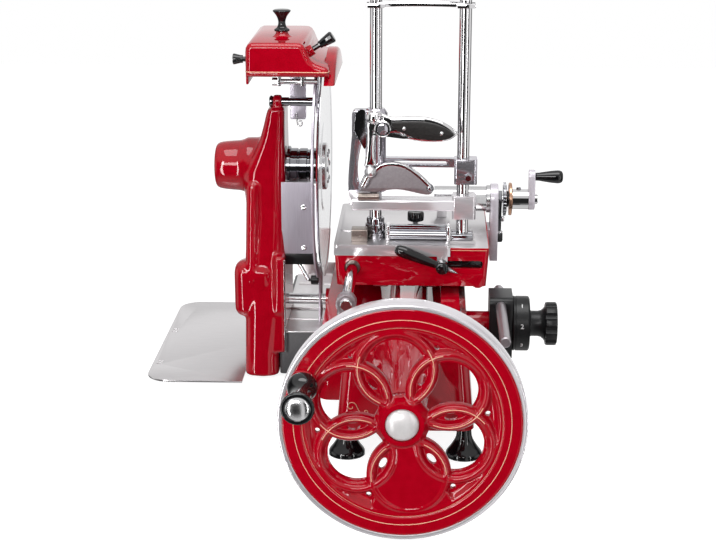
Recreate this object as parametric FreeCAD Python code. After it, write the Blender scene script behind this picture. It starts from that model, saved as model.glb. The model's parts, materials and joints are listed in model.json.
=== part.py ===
import FreeCAD, Part
import math
import os

# Hand crank meat slicer. Millimetres, +X to the right of the operator, +Y away, +Z up.
# The machine is laid out from one datum: X 0 on the flywheel shaft, Y 0 on the flywheel's
# front face, Z 0 on the table. It is moved to the centre of its footprint when it is written.

V = FreeCAD.Vector
AXIS_X, AXIS_Y, AXIS_Z = V(1, 0, 0), V(0, 1, 0), V(0, 0, 1)

# ---- fits -----------------------------------------------------------------
running = 0.05              # radial clearance of a shaft or rod in its bore
apart = 0.5                 # gap between pieces that pass each other
wall = 6.0                  # thickness of the cast walls
drill_length = 1000.0       # of the tools that drill right through a piece

# ---- flywheel ---------------------------------------------------------------
wheel_radius = 140.0        # outside of the bright rim
wheel_clear = 6.8           # from the rim down to the table
rim_thickness = 5.5
rim_width = 26.0
land_ease = 0.8             # how far the casting's faces lie inside the rim's
hub_radius = 27.0
cap_radius = 19.0
petals = 6
phase_deg = 7.0             # first spoke above +X
petal_place = 0.475         # petal centre, as a share of the casting's radius
rib_place = 0.316           # rib crest round the petal centre, same share
opening_share = 0.246       # petal opening, same share
rib_half = 5.5
web_front = 9.0             # recess of the web behind the rim's face
web_back = 15.0
rib_front = 2.0
crank_radius = 120.0
crank_angle_deg = 156.4
spindle_radius = 5.0
crank_boss_radius = 14.0
crank_boss_length = 22.0
hub_length = 40.0
boss_proud = 3.0
grip_length = 76.0
grip_gap = 4.0
plain_petal = 4             # the lowest petal is a plain panel
spoke_eye_axes = (9.0, 5.0)
spoke_eye_place = 0.41      # share of the casting's radius
bolt_hole_radius = 3.5
bolt_hole_place = 0.715     # same share
web_edge = 0.76             # where the web meets the rim, same share

shaft_radius = 11.0

# ---- base -------------------------------------------------------------------
base_front_y = 230.0
base_back_y = 850.0
base_bottom_z = 48.0
base_top_z = 150.0
base_half_top = 78.0
base_half_bottom = 87.5
base_corner = 16.0
base_lean = 6.0
shoulder_y = 334.0          # where the base widens to the blade side
shoulder_x = -118.0
snout_end_y = 52.0
snout_radius = 26.0
foot_x = 75.5
foot_front_y = 268.0
foot_back_y = 805.0
foot_radius = 23.5
foot_pad_radius = 14.0
neck_radius = 9.5
bush_thickness = 4.0
bush_length = 30.0
mid_bush_before = 90.0      # from the gears back to the middle bush

# ---- blade --------------------------------------------------------------------
blade_radius = 160.0
blade_x = -123.0            # cutting plane
blade_y = 612.0
blade_z = 304.0
blade_thickness = 5.0
bearing_radius = 26.0
blade_shaft_radius = 10.0
guard_ring_in = 146.0
guard_ring_out = 163.0
guard_thickness = 3.0
guard_gap = 2.5
hub_disc_radius = 34.0
hub_seat = 2.2              # how far the hub's seat lies behind the cutting plane
shaft_end_y = blade_y + 28.0

# ---- deck, drip tray and slice receiving plate ---------------------------------
deck_left_x = -188.0
deck_front_y = blade_y - 67.0
deck_back_y = blade_y + 228.0
deck_bottom_z = 8.0
deck_top_z = 72.0
deck_corner = 6.0
tray_thickness = 2.0
tray_overhang = 3.0
tray_lip = 22.0
tray_step = 5.0
plate_left_x = -381.0
tongue_right_x = -136.0
plate_front_y = blade_y - 104.0
plate_back_y = blade_y + 277.0
plate_thickness = 2.5
plate_corner = 34.0
plate_slot = (8.0, 3.0)     # length across and width along
tongue_joggle = 0.5         # the tongues under the deck lie this much lower than the plate
tongue_width = 40.0

# ---- blade standard -----------------------------------------------------------
std_left_x = -235.0
std_right_x = -180.0
std_top_z = 396.0
std_top_left_x = -199.0
std_corner = 16.0
barrel_left_x = -283.0
barrel_radius = 30.0
flare_radius = 48.0         # where the barrel runs out into the column
boss_left_x = -253.0
boss_half = 69.0
boss_bottom_z = 93.0
boss_top_z = 190.0
boss_corner = 26.0
boss_round = 13.0
std_foot_left_x = -239.0
std_foot_right_x = -189.0
std_foot_top_z = 104.0
std_half_low = 74.0
std_half_mid = 52.0
std_half_top = 20.0
step_left_x = -222.0        # the thicker lower half of the column's blade side
step_bottom_z = 41.0
step_top_z = 186.0
lug_radius = 10.0
lug_length = 13.0
pad_radius = 21.0
pad_height = 5.0

# ---- drive inside the base and the standard --------------------------------------
cross_radius = 8.0
main_gear_radius = 20.0     # crossed helical pair, one to one
cross_gear_radius = 24.0
gear_width = 22.0
gear_gap = 0.4
hump_wall = 5.0
chain_x = -212.0
chain_width = 8.0
chain_thickness = 4.5
chain_gap = 0.4             # between the chain and the sprockets' rims
low_sprocket_radius = 34.0  # two to one up to the blade
high_sprocket_radius = 17.0
sprocket_width = 5.0
rub_bottom_z = 190.0        # where the casting's rubbing strips guide the chain
rub_height = 16.0

# ---- slice deflector --------------------------------------------------------------
deflector_front_y = blade_y - 52.0
deflector_left_x = -184.0
deflector_right_x = -136.0
deflector_bottom_z = 186.0
deflector_top_z = 291.0
deflector_thickness = 3.0
deflector_screw_x = -152.0
deflector_screw_z = (195.0, 255.0)
deflector_bar_height = 14.0
deflector_bar_depth = 12.0

# ---- sharpener ----------------------------------------------------------------
cover_left_x = -226.0
cover_right_x = -118.0
cover_front_y = blade_y - 107.0
cover_back_y = blade_y + 78.0
cover_top_z = 497.0
cover_bottom_z = 450.0
cover_lip_z = 439.0
cover_wall = 3.5
cover_round = 16.0          # along the left shoulder
cover_edge = 8.0            # round the front and the back
cheek_right_x = -104.0
cheek_edge = 5.0
cheek_radius = blade_radius + 12.0
knob_x = -181.0             # the lifting knob stands over the stay rod
stay_y = blade_y - 39.0
stay_z = 405.0
stay_radius = 6.0
post_left_x = -171.0
post_right_x = -149.0
post_thickness = 9.0
post_top_z = 474.0
guide_margin = 6.0
grind_y = blade_y - 72.0
grind_z = 470.0
hone_root = (-137.0, blade_y - 77.0, 484.0)
hone_slope_deg = 32.5
hone_stem = 27.0
hone_knob_gap = 12.5
grind_stem = 58.0
stone_radius = 11.0
stem_radius = 3.5
cover_stem_radius = 4.0
cover_knob_seat = 7.5       # height of the flange below the lifting knob

# ---- carriage and table ---------------------------------------------------------
rod_x = -76.0
rod_z = 205.0
rod_radius = 7.5
bush_bore = 11.0
rod_front_y = 253.0
rod_back_y = 836.0
bracket_thickness = 18.0
carriage_left_x = -101.0
carriage_right_x = 109.0
carriage_front_y = 425.0
carriage_depth = 227.0
carriage_bottom_z = 181.0
carriage_top_z = 234.0
rail_x = 73.0
rail_thickness = 8.0
rail_rib_left_x = 44.0
rail_top_z = 170.0
roller_radius = 10.0
roller_pin_radius = 4.0
bead_x = 94.0               # round bead along the carriage's lower right edge
bead_z = 188.0
bead_radius = 9.5
slot_left_x = 40.0
slot_right_x = 100.5
slot_z = 211.0
lock_x = 45.5
lock_front_y = 404.0
lock_pin_radius = 4.0
table_thickness = 4.0
field_proud = 1.0           # the raised field that the meat lies on
field_right_x = 30.0
field_front_y = 492.0
apron_thickness = 4.0
apron_drop = 15.0
apron_right_x = 56.0
column_left_x = -46.0
column_right_x = 72.0
column_places = (column_left_x, column_right_x)
column_y = 464.0
column_radius = 8.4
column_top_z = 552.0
fence_left_x = -27.0
fence_right_x = 51.0
fence_front_y = 444.0
fence_end_thickness = 5.0
fence_knob_x = 8.5
fence_knob_radius = 11.5

# ---- clamp ----------------------------------------------------------------------
sleeve_radius = 14.0
sleeve_bottom_z = 304.0
sleeve_top_z = 417.0
wing_left_x = -78.0         # the block to the left of the sleeve and the strut below it
wing_bottom_z = 376.0
wing_top_z = 415.0
strut_depth = 13.0
ear_height = 20.0
beam_z = 344.0
beam_half = 6.0
bar_z = 287.0
clamp_block = 30.0          # square blocks that ride on the right column
ball = (-53.0, 443.0, 324.0)
ball_radius = 8.0
foot_thickness = 11.0
lever_pivot_x = -36.0
lever_pivot_z = 395.0
lever_front_y = 431.0
lever_depth = 16.0
lever_pin_radius = 4.0

# ---- cross feed -----------------------------------------------------------------
feed_y = 578.0
feed_z = 266.0
feed_radius = 6.0
tube_radius = 18.0
tube_left_x = 34.0
end_plate_x = 114.0
end_plate_thickness = 11.0
feed_crank_length = 33.0
crank_arm_x = 168.0
crank_arm_thickness = 9.0
feed_spindle_radius = 3.0
ratchet_teeth = 30
ratchet_radius = 24.0
ratchet_x = 131.5
ratchet_width = 5.5
feed_dial_x = 140.0
feed_dial_radius = 23.5
feed_crank_x = 145.0
feed_grip_length = 39.0
nut_length = 14.0
pawl_length = 58.0

# ---- slice thickness dial ---------------------------------------------------------
dial_y = 433.0
dial_z = 127.0
dial_radius = 37.5
dial_x = 142.0
dial_width = 23.0
control_x = 125.0
control_z = 159.0
control_radius = 7.0
control_length = 232.0
boss_x = 86.0
bracket_x = 110.0
dial_shaft_radius = 8.0
knob_lobes = 10
pinion_width = 14.0


# ---- helpers ----------------------------------------------------------------------
def box(x0, x1, y0, y1, z0, z1):
    return Part.makeBox(x1 - x0, y1 - y0, z1 - z0, V(x0, y0, z0))


def rod(radius, start, axis, length):
    return Part.makeCylinder(radius, length, start, axis)


def ring(outer, inner, start, axis, length):
    return rod(outer, start, axis, length).cut(rod(inner, start, axis, length))


def bore(radius, axis, place):
    """A tool that drills right through, along an axis through a place."""
    return rod(radius, place - axis * (drill_length / 2), axis, drill_length)


def fused(*shapes):
    return shapes[0].multiFuse(list(shapes[1:])).removeSplitter()


def polygon(points):
    return Part.Face(Part.makePolygon(points + points[:1]))


def along_y(outline, y0, y1):
    """Extrude an outline of (x, z) points from y0 to y1."""
    return polygon([V(x, y0, z) for x, z in outline]).extrude(V(0, y1 - y0, 0))


def along_x(outline, x0, x1):
    """Extrude an outline of (y, z) points from x0 to x1."""
    return polygon([V(x0, y, z) for y, z in outline]).extrude(V(x1 - x0, 0, 0))


def turned(profile, start, axis):
    """Revolve a closed profile of (radius, distance along the axis) about the axis."""
    solid = polygon([V(r, 0, h) for r, h in profile]).revolve(V(0, 0, 0), AXIS_Z, 360)
    solid.Placement = FreeCAD.Placement(start, FreeCAD.Rotation(AXIS_Z, axis))
    return solid


def turned_curve(curve, closing, start, axis):
    """Revolve a smooth curve through (radius, distance) points, closed by straight lines."""
    spline = Part.BSplineCurve()
    spline.interpolate([V(r, 0, h) for r, h in curve])
    corners = [V(r, 0, h) for r, h in curve[-1:] + closing + curve[:1]]
    lines = [Part.makeLine(p, q) for p, q in zip(corners, corners[1:])]
    solid = Part.Face(Part.Wire([spline.toShape()] + lines)).revolve(V(0, 0, 0), AXIS_Z, 360)
    solid.Placement = FreeCAD.Placement(start, FreeCAD.Rotation(AXIS_Z, axis))
    return solid


def edges_along(shape, axis, shortest=0.0):
    """The straight edges of a shape that run along an axis."""
    found = []
    for edge in shape.Edges:
        if edge.Curve.TypeId != "Part::GeomLine" or edge.Length < shortest:
            continue
        if abs(abs(edge.tangentAt(edge.FirstParameter).dot(axis)) - 1) < 1e-6:
            found.append(edge)
    return found


def rounded(shape, radius, axis, shortest=0.0):
    return shape.makeFillet(radius, edges_along(shape, axis, shortest))


def outer_edges(shape, direction):
    """The edges of the flat face that lies farthest out in a direction."""
    flat = [face for face in shape.Faces
            if face.Surface.TypeId == "Part::GeomPlane" and face.normalAt(0, 0).dot(direction) > 0.999]
    return max(flat, key=lambda face: face.CenterOfMass.dot(direction)).Edges


def lobed(radius, lobes, scallop, start, axis, length):
    """A knob with hollows between its lobes."""
    body = Part.makeCylinder(radius, length)
    body = body.makeFillet(1.5, body.Edges)
    for i in range(lobes):
        angle = 2 * math.pi * i / lobes
        place = V(math.cos(angle), math.sin(angle), 0) * (radius + 0.35 * scallop)
        body = body.cut(Part.makeCylinder(scallop, length + 2, place - AXIS_Z, AXIS_Z))
    body.Placement = FreeCAD.Placement(start, FreeCAD.Rotation(AXIS_Z, axis))
    return body


def curved_plate(top, low, y, thickness):
    """A plate between two smooth curves of (x, z) points that share or nearly share their ends."""
    edges = []
    for points in (top, low):
        spline = Part.BSplineCurve()
        spline.interpolate([V(x, y, z) for x, z in points])
        edges.append(spline.toShape())
    for i in (0, -1):
        if top[i] != low[i]:
            edges.append(Part.makeLine(V(top[i][0], y, top[i][1]), V(low[i][0], y, low[i][1])))
    return Part.Face(Part.Wire(Part.__sortEdges__(edges))).extrude(V(0, thickness, 0))


def section(x0, x1, y0, y1, radius, z):
    """A rectangle with rounded corners at height z."""
    k = radius * (1 - math.sqrt(0.5))
    corners = [
        (V(x1 - radius, y0, z), V(x1 - k, y0 + k, z), V(x1, y0 + radius, z)),
        (V(x1, y1 - radius, z), V(x1 - k, y1 - k, z), V(x1 - radius, y1, z)),
        (V(x0 + radius, y1, z), V(x0 + k, y1 - k, z), V(x0, y1 - radius, z)),
        (V(x0, y0 + radius, z), V(x0 + k, y0 + k, z), V(x0 + radius, y0, z)),
    ]
    edges = []
    for i, (a, b, c) in enumerate(corners):
        edges.append(Part.Arc(a, b, c).toShape())
        edges.append(Part.makeLine(c, corners[(i + 1) % 4][0]))
    return Part.Wire(edges)


def lofted(sections, ruled=False):
    return Part.makeLoft([section(*s) for s in sections], True, ruled)


# ---- flywheel ----------------------------------------------------------------------
casting_radius = wheel_radius - rim_thickness
wheel_z = wheel_radius + wheel_clear
petal_radius = petal_place * casting_radius
crest_radius = rib_place * casting_radius
opening_radius = opening_share * casting_radius
rib_outside = crest_radius + rib_half
rim_inside = 0.83 * casting_radius
crank_x = crank_radius * math.cos(math.radians(crank_angle_deg))
crank_z = wheel_z + crank_radius * math.sin(math.radians(crank_angle_deg))
grip_back_y = -boss_proud - grip_gap


def wheel_point(radius, degrees, y):
    angle = math.radians(degrees)
    return V(radius * math.cos(angle), y, wheel_z + radius * math.sin(angle))


def petal_centre(i, y=0.0):
    return wheel_point(petal_radius, phase_deg + 360 / petals * (i + 0.5), y)


def rib_ring(i):
    a = V(opening_radius, 0, web_front - 1.0)
    b = V(crest_radius, 0, rib_front)
    c = V(rib_outside, 0, web_front - 1.5)
    d = V(rib_outside, 0, web_back)
    e = V(opening_radius, 0, web_back)
    lines = [Part.makeLine(p, q) for p, q in ((c, d), (d, e), (e, a))]
    wire = Part.Wire([Part.Arc(a, b, c).toShape()] + lines)
    solid = Part.Face(wire).revolve(V(0, 0, 0), AXIS_Z, 360)
    solid.Placement = FreeCAD.Placement(petal_centre(i), FreeCAD.Rotation(AXIS_Z, AXIS_Y))
    return solid


def petal_opening(i):
    hole = bore(opening_radius, AXIS_Y, petal_centre(i))
    for neighbour in (i - 1, i + 1):
        hole = hole.cut(bore(rib_outside, AXIS_Y, petal_centre(neighbour)))
    return hole


def spoke_eye(i):
    """The oval hole in the middle of a spoke."""
    angle = phase_deg + 360 / petals * i
    oval = Part.Face(Part.Wire(Part.Ellipse(V(0, 0, 0), *spoke_eye_axes).toShape()))
    disc = oval.extrude(V(0, 0, 2 * rim_width))
    turn = FreeCAD.Rotation(AXIS_Y, -angle).multiply(FreeCAD.Rotation(AXIS_X, 90))
    place = wheel_point(spoke_eye_place * casting_radius, angle, 1.5 * rim_width)
    disc.Placement = FreeCAD.Placement(place, turn)
    return disc


def wheel_rim_land(centre):
    """The casting's outer ring, with a step down to the web on the front."""
    edge = web_edge * casting_radius
    front, back, inside = land_ease, rim_width - land_ease, rim_inside
    outline = [(casting_radius, front), (casting_radius, back), (inside + 2, back), (inside - 3, web_back),
               (edge, web_back), (edge, web_front), (inside - 5, web_front), (inside - 3.5, 4.5),
               (inside - 1.5, 4.5), (inside + 0.5, 1.5), (inside + 2.5, front)]
    return turned(outline, centre, AXIS_Y)


def wheel_hub(centre):
    cap_room = cap_radius + apart
    return turned([(shaft_radius, 0), (cap_room, 0), (cap_room, -boss_proud), (hub_radius - 3, -boss_proud),
                   (hub_radius, 0), (hub_radius, web_back + 2), (hub_radius - 4, hub_length),
                   (shaft_radius, hub_length)],
                  centre, AXIS_Y)


def wheel_panel():
    """The plain lowest petal, filled out to the rim."""
    middle = phase_deg + 360 / petals * (plain_petal + 0.5)
    front, depth = rib_front + 1, web_back - rib_front - 1
    sector = polygon([wheel_point(r, middle + turn, front) for r, turn in ((20, 0), (170, -24), (170, 24))])
    disc = rod(0.8 * casting_radius, V(0, front, wheel_z), AXIS_Y, depth)
    wedge = sector.extrude(V(0, depth, 0)).common(disc)
    return fused(rod(rib_outside, petal_centre(plain_petal, front), AXIS_Y, depth), wedge)


def flywheel_casting():
    centre = V(0, 0, wheel_z)
    open_petals = [i for i in range(petals) if i != plain_petal]
    web = ring((web_edge + 0.02) * casting_radius, hub_radius - 2, V(0, web_front, wheel_z), AXIS_Y,
               web_back - web_front)
    crank_boss = rod(crank_boss_radius, V(crank_x, -boss_proud, crank_z), AXIS_Y, crank_boss_length)
    body = fused(wheel_rim_land(centre), web, wheel_hub(centre), wheel_panel(), crank_boss,
                 *[rib_ring(i) for i in open_petals])
    cuts = [petal_opening(i) for i in open_petals]
    for i in range(petals):
        bolt_place = wheel_point(bolt_hole_place * casting_radius, phase_deg + 360 / petals * i, 0)
        cuts += [spoke_eye(i), bore(bolt_hole_radius, AXIS_Y, bolt_place)]
    cuts.append(bore(spindle_radius, AXIS_Y, V(crank_x, 0, crank_z)))
    cuts.append(bore(shaft_radius, AXIS_Y, centre))
    return body.cut(Part.makeCompound(cuts))


def flywheel_rim():
    return turned([(casting_radius, 0), (casting_radius, rim_width), (wheel_radius - 1, rim_width),
                   (wheel_radius, rim_width - 1), (wheel_radius, 1.5), (wheel_radius - 1.5, 0)],
                  V(0, 0, wheel_z), AXIS_Y)


def flywheel_cap():
    return turned_curve([(0, 8.5), (9, 7.6), (16, 4.6), (cap_radius, 1.0)], [(cap_radius, 0), (0, 0)],
                        V(0, 0, wheel_z), V(0, -1, 0))


def crank_spindle():
    """The pin that the grip turns on, with a collar between the grip and the wheel."""
    pin = rod(spindle_radius, V(crank_x, grip_back_y - grip_length + 6, crank_z), AXIS_Y, grip_length + 24)
    collar = rod(spindle_radius + 3, V(crank_x, grip_back_y + apart, crank_z), AXIS_Y, grip_gap - apart)
    return fused(pin, collar)


def crank_grip():
    n, back = grip_length, V(crank_x, grip_back_y, crank_z)
    profile = [(13.5, 0), (16.5, 7), (15.0, 17), (10.0, 28), (9.3, 0.5 * n), (11.5, 0.72 * n),
               (16.5, 0.9 * n), (18.5, 0.96 * n), (17.5, n)]
    body = turned_curve(profile, [(0, n), (0, 0)], back, V(0, -1, 0))
    button = turned_curve([(0, 3.2), (7, 2.6), (11.5, 0.8)], [(11.5, -1), (0, -1)],
                          back - V(0, n, 0), V(0, -1, 0))
    return fused(body, button).cut(rod(spindle_radius + running, back, V(0, -1, 0), n - 5))


def main_shaft():
    gear_y = cross_y - gear_width / 2
    gear = rod(main_gear_radius - gear_gap, V(0, gear_y, wheel_z), AXIS_Y, gear_width)
    return fused(rod(shaft_radius, V(0, 0, wheel_z), AXIS_Y, shaft_end_y), gear)


# ---- base ----------------------------------------------------------------------------
cross_y = blade_y
cross_z = wheel_z - main_gear_radius - cross_gear_radius
hump_radius = main_gear_radius + 1 + hump_wall
hump_end_y = shaft_end_y + bush_length
bush_radius = shaft_radius + bush_thickness
rail_front_y, rail_back_y = base_front_y + 12, base_back_y - 12


def base_shell(inset):
    """The outside of the base casting, or its hollow when inset by the wall."""
    low, high = base_bottom_z - (1 if inset else 0), base_top_z - inset
    front, back = base_front_y + inset, base_back_y - inset
    half_low, half_high = base_half_bottom - inset, base_half_top - inset
    nose = lofted([(-half, half, front, back, base_corner, z)
                   for half, z in ((half_low, low), (half_high, high))], True)
    side = lofted([(shoulder_x + inset + lean, 0, shoulder_y + inset, back, base_corner, z)
                   for lean, z in ((0, low), (base_lean, high))], True)
    return nose.fuse(side)


def shaft_bush_places():
    return (snout_end_y, cross_y - mid_bush_before, shaft_end_y - bush_length / 2)


def base_casting():
    """A hollow box on pillars, with a snout and a hump over the shaft and bosses for the other two."""
    root_y = base_front_y + 8
    snout = turned([(0, snout_end_y), (snout_radius, snout_end_y), (snout_radius + 8, root_y - 48),
                    (snout_radius + 16, root_y), (0, root_y)], V(0, 0, wheel_z - 6), AXIS_Y)
    hump = rod(hump_radius, V(0, base_front_y + 2, wheel_z), AXIS_Y, hump_end_y - base_front_y - 2)
    rail_rib = box(rail_rib_left_x, rail_x - rail_thickness / 2, rail_front_y, rail_back_y,
                   base_top_z - 2, rail_top_z)
    dial_boss = rod(16, V(base_half_top - 12, dial_y, dial_z), AXIS_X, bracket_x - base_half_top + 12)
    cross_boss = rod(cross_radius + 8, V(shoulder_x - 6, cross_y, cross_z), AXIS_X, 30)
    outside = fused(base_shell(0), snout, hump, rail_rib, dial_boss, cross_boss)
    hump_hollow = rod(hump_radius - hump_wall, V(0, base_front_y + wall, wheel_z), AXIS_Y,
                      hump_end_y - base_front_y - 2 * wall)
    hangers = [box(-hump_radius + 1, hump_radius - 1, y, y + bush_length / 2, wheel_z - 24, wheel_z + 18)
               for y in shaft_bush_places()[1:]]
    pillars = [rod(foot_pad_radius, V(x, y, base_bottom_z), AXIS_Z, base_top_z - base_bottom_z)
               for x, y in foot_places()]
    pillars = [pillar.common(base_shell(0)) for pillar in pillars]
    shell = outside.cut(base_shell(wall)).cut(hump_hollow)
    shell = fused(shell, cross_boss, dial_boss, *(hangers + pillars))
    cuts = [rod(bush_radius, V(0, y, wheel_z), AXIS_Y, bush_length) for y in shaft_bush_places()]
    shaft_room = shaft_end_y - snout_end_y + 3
    cuts.append(rod(shaft_radius + 2, V(0, snout_end_y - 1, wheel_z), AXIS_Y, shaft_room))
    cuts.append(rod(cross_radius + running, V(shoulder_x - 10, cross_y, cross_z), AXIS_X, 50))
    cuts.append(rod(dial_shaft_radius + running, V(boss_x - 25, dial_y, dial_z), AXIS_X, 100))
    return shell.cut(Part.makeCompound(cuts))


def shaft_bushes():
    bore_radius = shaft_radius + running
    return Part.makeCompound([ring(bush_radius, bore_radius, V(0, y, wheel_z), AXIS_Y, bush_length)
                              for y in shaft_bush_places()])


def bell_foot(x, y):
    h = base_bottom_z
    curve = [(foot_radius, 0), (foot_radius - 0.5, 0.13 * h), (0.72 * foot_radius, 0.3 * h),
             (neck_radius + 1.5, 0.52 * h), (neck_radius, 0.75 * h), (neck_radius + 0.5, h)]
    return turned_curve(curve, [(0, h), (0, 0)], V(x, y, 0), AXIS_Z)


def foot_places():
    return [(x, y) for x in (-foot_x, foot_x) for y in (foot_front_y, foot_back_y)]


def bell_feet():
    return Part.makeCompound([bell_foot(x, y) for x, y in foot_places()])


def base_deck():
    right = shoulder_x + 4
    outer = lofted([(deck_left_x, right, deck_front_y, deck_back_y, deck_corner, z)
                    for z in (deck_bottom_z, deck_top_z)], True)
    hollow = box(deck_left_x + wall, right - wall, deck_front_y + wall, deck_back_y - wall,
                 deck_bottom_z - 1, deck_top_z - wall)
    return outer.cut(hollow).cut(base_shell(0)).cut(standard_solid())


def drip_tray():
    x0, x1, y0 = deck_left_x + 4, shoulder_x - 1, deck_front_y - tray_overhang
    floor = box(x0, x1, y0, deck_back_y, deck_top_z, deck_top_z + tray_thickness)
    step_y = blade_y + 36
    step = box(x0, x1, step_y, step_y + 4, deck_top_z, deck_top_z + tray_step)
    lip = box(x0, x1, deck_back_y - tray_thickness, deck_back_y, deck_top_z, deck_top_z + tray_lip)
    return fused(floor, step, lip).cut(standard_solid())


def receiving_plate():
    """A sheet up to the deck's side, carried by two joggled tongues under the deck."""
    low, high = deck_bottom_z - plate_thickness, deck_bottom_z + tongue_joggle
    right = deck_left_x - apart
    sheet = Part.Face(section(plate_left_x, right + plate_corner, plate_front_y, plate_back_y, plate_corner,
                              high - plate_thickness)).extrude(V(0, 0, plate_thickness))
    sheet = sheet.cut(box(right, 0, 0, 2 * plate_back_y, 0, deck_top_z))
    tongues = [box(right - plate_corner, tongue_right_x, y, y + tongue_width, low, deck_bottom_z)
               for y in (blade_y + std_half_low + 14, deck_back_y - tongue_width - 20)]
    notch = box(std_foot_left_x - apart, 0, 0, blade_y + std_half_low + apart, 0, deck_top_z)
    across, along = plate_slot
    slots = [box(plate_left_x + 6, plate_left_x + 6 + across, y, y + along, 0, deck_top_z)
             for pair_y in (plate_front_y + 70, plate_back_y - 160) for y in (pair_y, pair_y + 12)]
    return fused(sheet, *tongues).cut(notch).cut(Part.makeCompound(slots))


# ---- blade standard --------------------------------------------------------------------
def standard_column():
    """The foot is straight; above it the column draws in smoothly to the head."""
    def level(z, x0, x1, front, back, corner=std_corner):
        return (x0, x1, blade_y - front, blade_y + back, corner, z)

    head_front = blade_y - stay_y + 14
    foot = lofted([level(z, std_foot_left_x, std_foot_right_x, std_half_low, std_half_low)
                   for z in (pad_height, std_foot_top_z)], True)
    column = lofted([
        level(std_foot_top_z - 2, std_left_x - 3, std_right_x, std_half_low - 1, std_half_low - 1),
        level(boss_top_z - 40, std_left_x - 2, std_right_x, std_half_mid + 16, std_half_mid + 16),
        level(boss_top_z + 10, std_left_x - 1, std_right_x, std_half_mid + 8, std_half_mid + 8),
        level(blade_z - 54, std_left_x, std_right_x, std_half_mid, std_half_mid),
        level(blade_z, std_left_x + 2, std_right_x, std_half_mid - 4, std_half_mid - 4),
        level(blade_z + 38, std_top_left_x - 12, std_right_x, std_half_mid - 6, std_half_mid - 10, 11),
        level(std_top_z - 26, std_top_left_x - 4, std_right_x + 1, head_front - 2, std_half_top + 8, 9),
        level(std_top_z, std_top_left_x, std_right_x + 2, head_front, std_half_top, 8)])
    return foot.fuse(column)


def standard_boss():
    """The bulge round the lower sprocket."""
    boss = rounded(box(boss_left_x, std_right_x - 15, blade_y - boss_half, blade_y + boss_half,
                       boss_bottom_z, boss_top_z), boss_corner, AXIS_X)
    return boss.makeFillet(boss_round, outer_edges(boss, AXIS_X * -1))


def standard_barrel():
    """The housing of the blade's shaft, which flares out into the column."""
    x, r = barrel_left_x, barrel_radius
    curve = [(r - 8, x), (r - 3.2, x + 2.5), (r - 1.4, x + 9), (r, x + 26), (r + 3, x + 40),
             (r + 9, x + 49), (flare_radius, x + 55)]
    return turned_curve(curve, [(flare_radius, step_left_x + 8), (0, step_left_x + 8), (0, x)],
                        V(0, blade_y, blade_z), AXIS_X)


def standard_step():
    x1, half = std_right_x + 1.5, std_half_low - 2
    step = box(step_left_x, x1, blade_y - half, blade_y + half, step_bottom_z, step_top_z)
    step = rounded(step, 10, AXIS_Z)
    return step.makeFillet(6, outer_edges(step, AXIS_Z))


def standard_solid():
    return fused(standard_column(), standard_step(), standard_boss(), standard_barrel())


def sprocket_loop(grow, x, width):
    """The outline of a chain round both sprockets, grown outwards, as a solid."""
    low, high = low_sprocket_radius + grow, high_sprocket_radius + grow
    lean = math.asin((low - high) / (blade_z - cross_z))
    across, up = math.cos(lean), math.sin(lean)
    ends = ((-1, low, cross_z), (1, low, cross_z), (1, high, blade_z), (-1, high, blade_z))
    tangents = [(blade_y + side * r * across, z + r * up) for side, r, z in ends]
    lower = rod(low, V(x, blade_y, cross_z), AXIS_X, width)
    upper = rod(high, V(x, blade_y, blade_z), AXIS_X, width)
    return fused(along_x(tangents, x, x + width), lower, upper)


def stay_bore():
    return bore(stay_radius, AXIS_X, V(std_left_x, stay_y, stay_z))


def blade_standard():
    chain_room = sprocket_loop(chain_thickness + 4, chain_x - chain_width, 2 * chain_width)
    chain_run = sprocket_loop(chain_thickness, chain_x - chain_width, 2 * chain_width)
    rub_zone = rod(2 * std_half_low, V(chain_x, blade_y, rub_bottom_z), AXIS_Z, rub_height)
    chain_room = chain_room.cut(rub_zone).fuse(chain_run.common(rub_zone))
    shaft_bore = rod(blade_shaft_radius + running, V(barrel_left_x + 10, blade_y, blade_z), AXIS_X,
                     drill_length)
    cross_bore = rod(cross_radius + running, V(boss_left_x + 20, cross_y, cross_z), AXIS_X, drill_length)
    lug_x = std_top_left_x + 4
    stay_lug = rod(lug_radius, V(lug_x, stay_y, stay_z), AXIS_X, lug_length)
    lug_neck = box(lug_x, lug_x + lug_length, stay_y - lug_radius + 2, stay_y + lug_radius - 2,
                   std_top_z - 2, stay_z)
    pad = rod(pad_radius, V(std_foot_left_x + pad_radius + 4, blade_y - 40, 0), AXIS_Z, pad_height)
    body = fused(standard_solid(), stay_lug, lug_neck, pad)
    return body.cut(Part.makeCompound([chain_room, shaft_bore, cross_bore, stay_bore()]))


def drive_chain():
    x = chain_x - chain_width / 2
    return sprocket_loop(chain_thickness, x, chain_width).cut(sprocket_loop(chain_gap, x, chain_width))


def sprocket(radius, z):
    return rod(radius, V(chain_x - sprocket_width / 2, blade_y, z), AXIS_X, sprocket_width)


def cross_shaft():
    left = chain_x - 20
    shaft = rod(cross_radius, V(left, cross_y, cross_z), AXIS_X, gear_width / 2 + 12 - left)
    gear = rod(cross_gear_radius - gear_gap, V(-gear_width / 2, cross_y, cross_z), AXIS_X, gear_width)
    return fused(shaft, gear, sprocket(low_sprocket_radius, cross_z))


def blade_bearing():
    sleeve = ring(bearing_radius, blade_shaft_radius + running, V(std_right_x, blade_y, blade_z), AXIS_X,
                  blade_x - 11.5 - std_right_x)
    return sleeve.cut(standard_solid())


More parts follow.
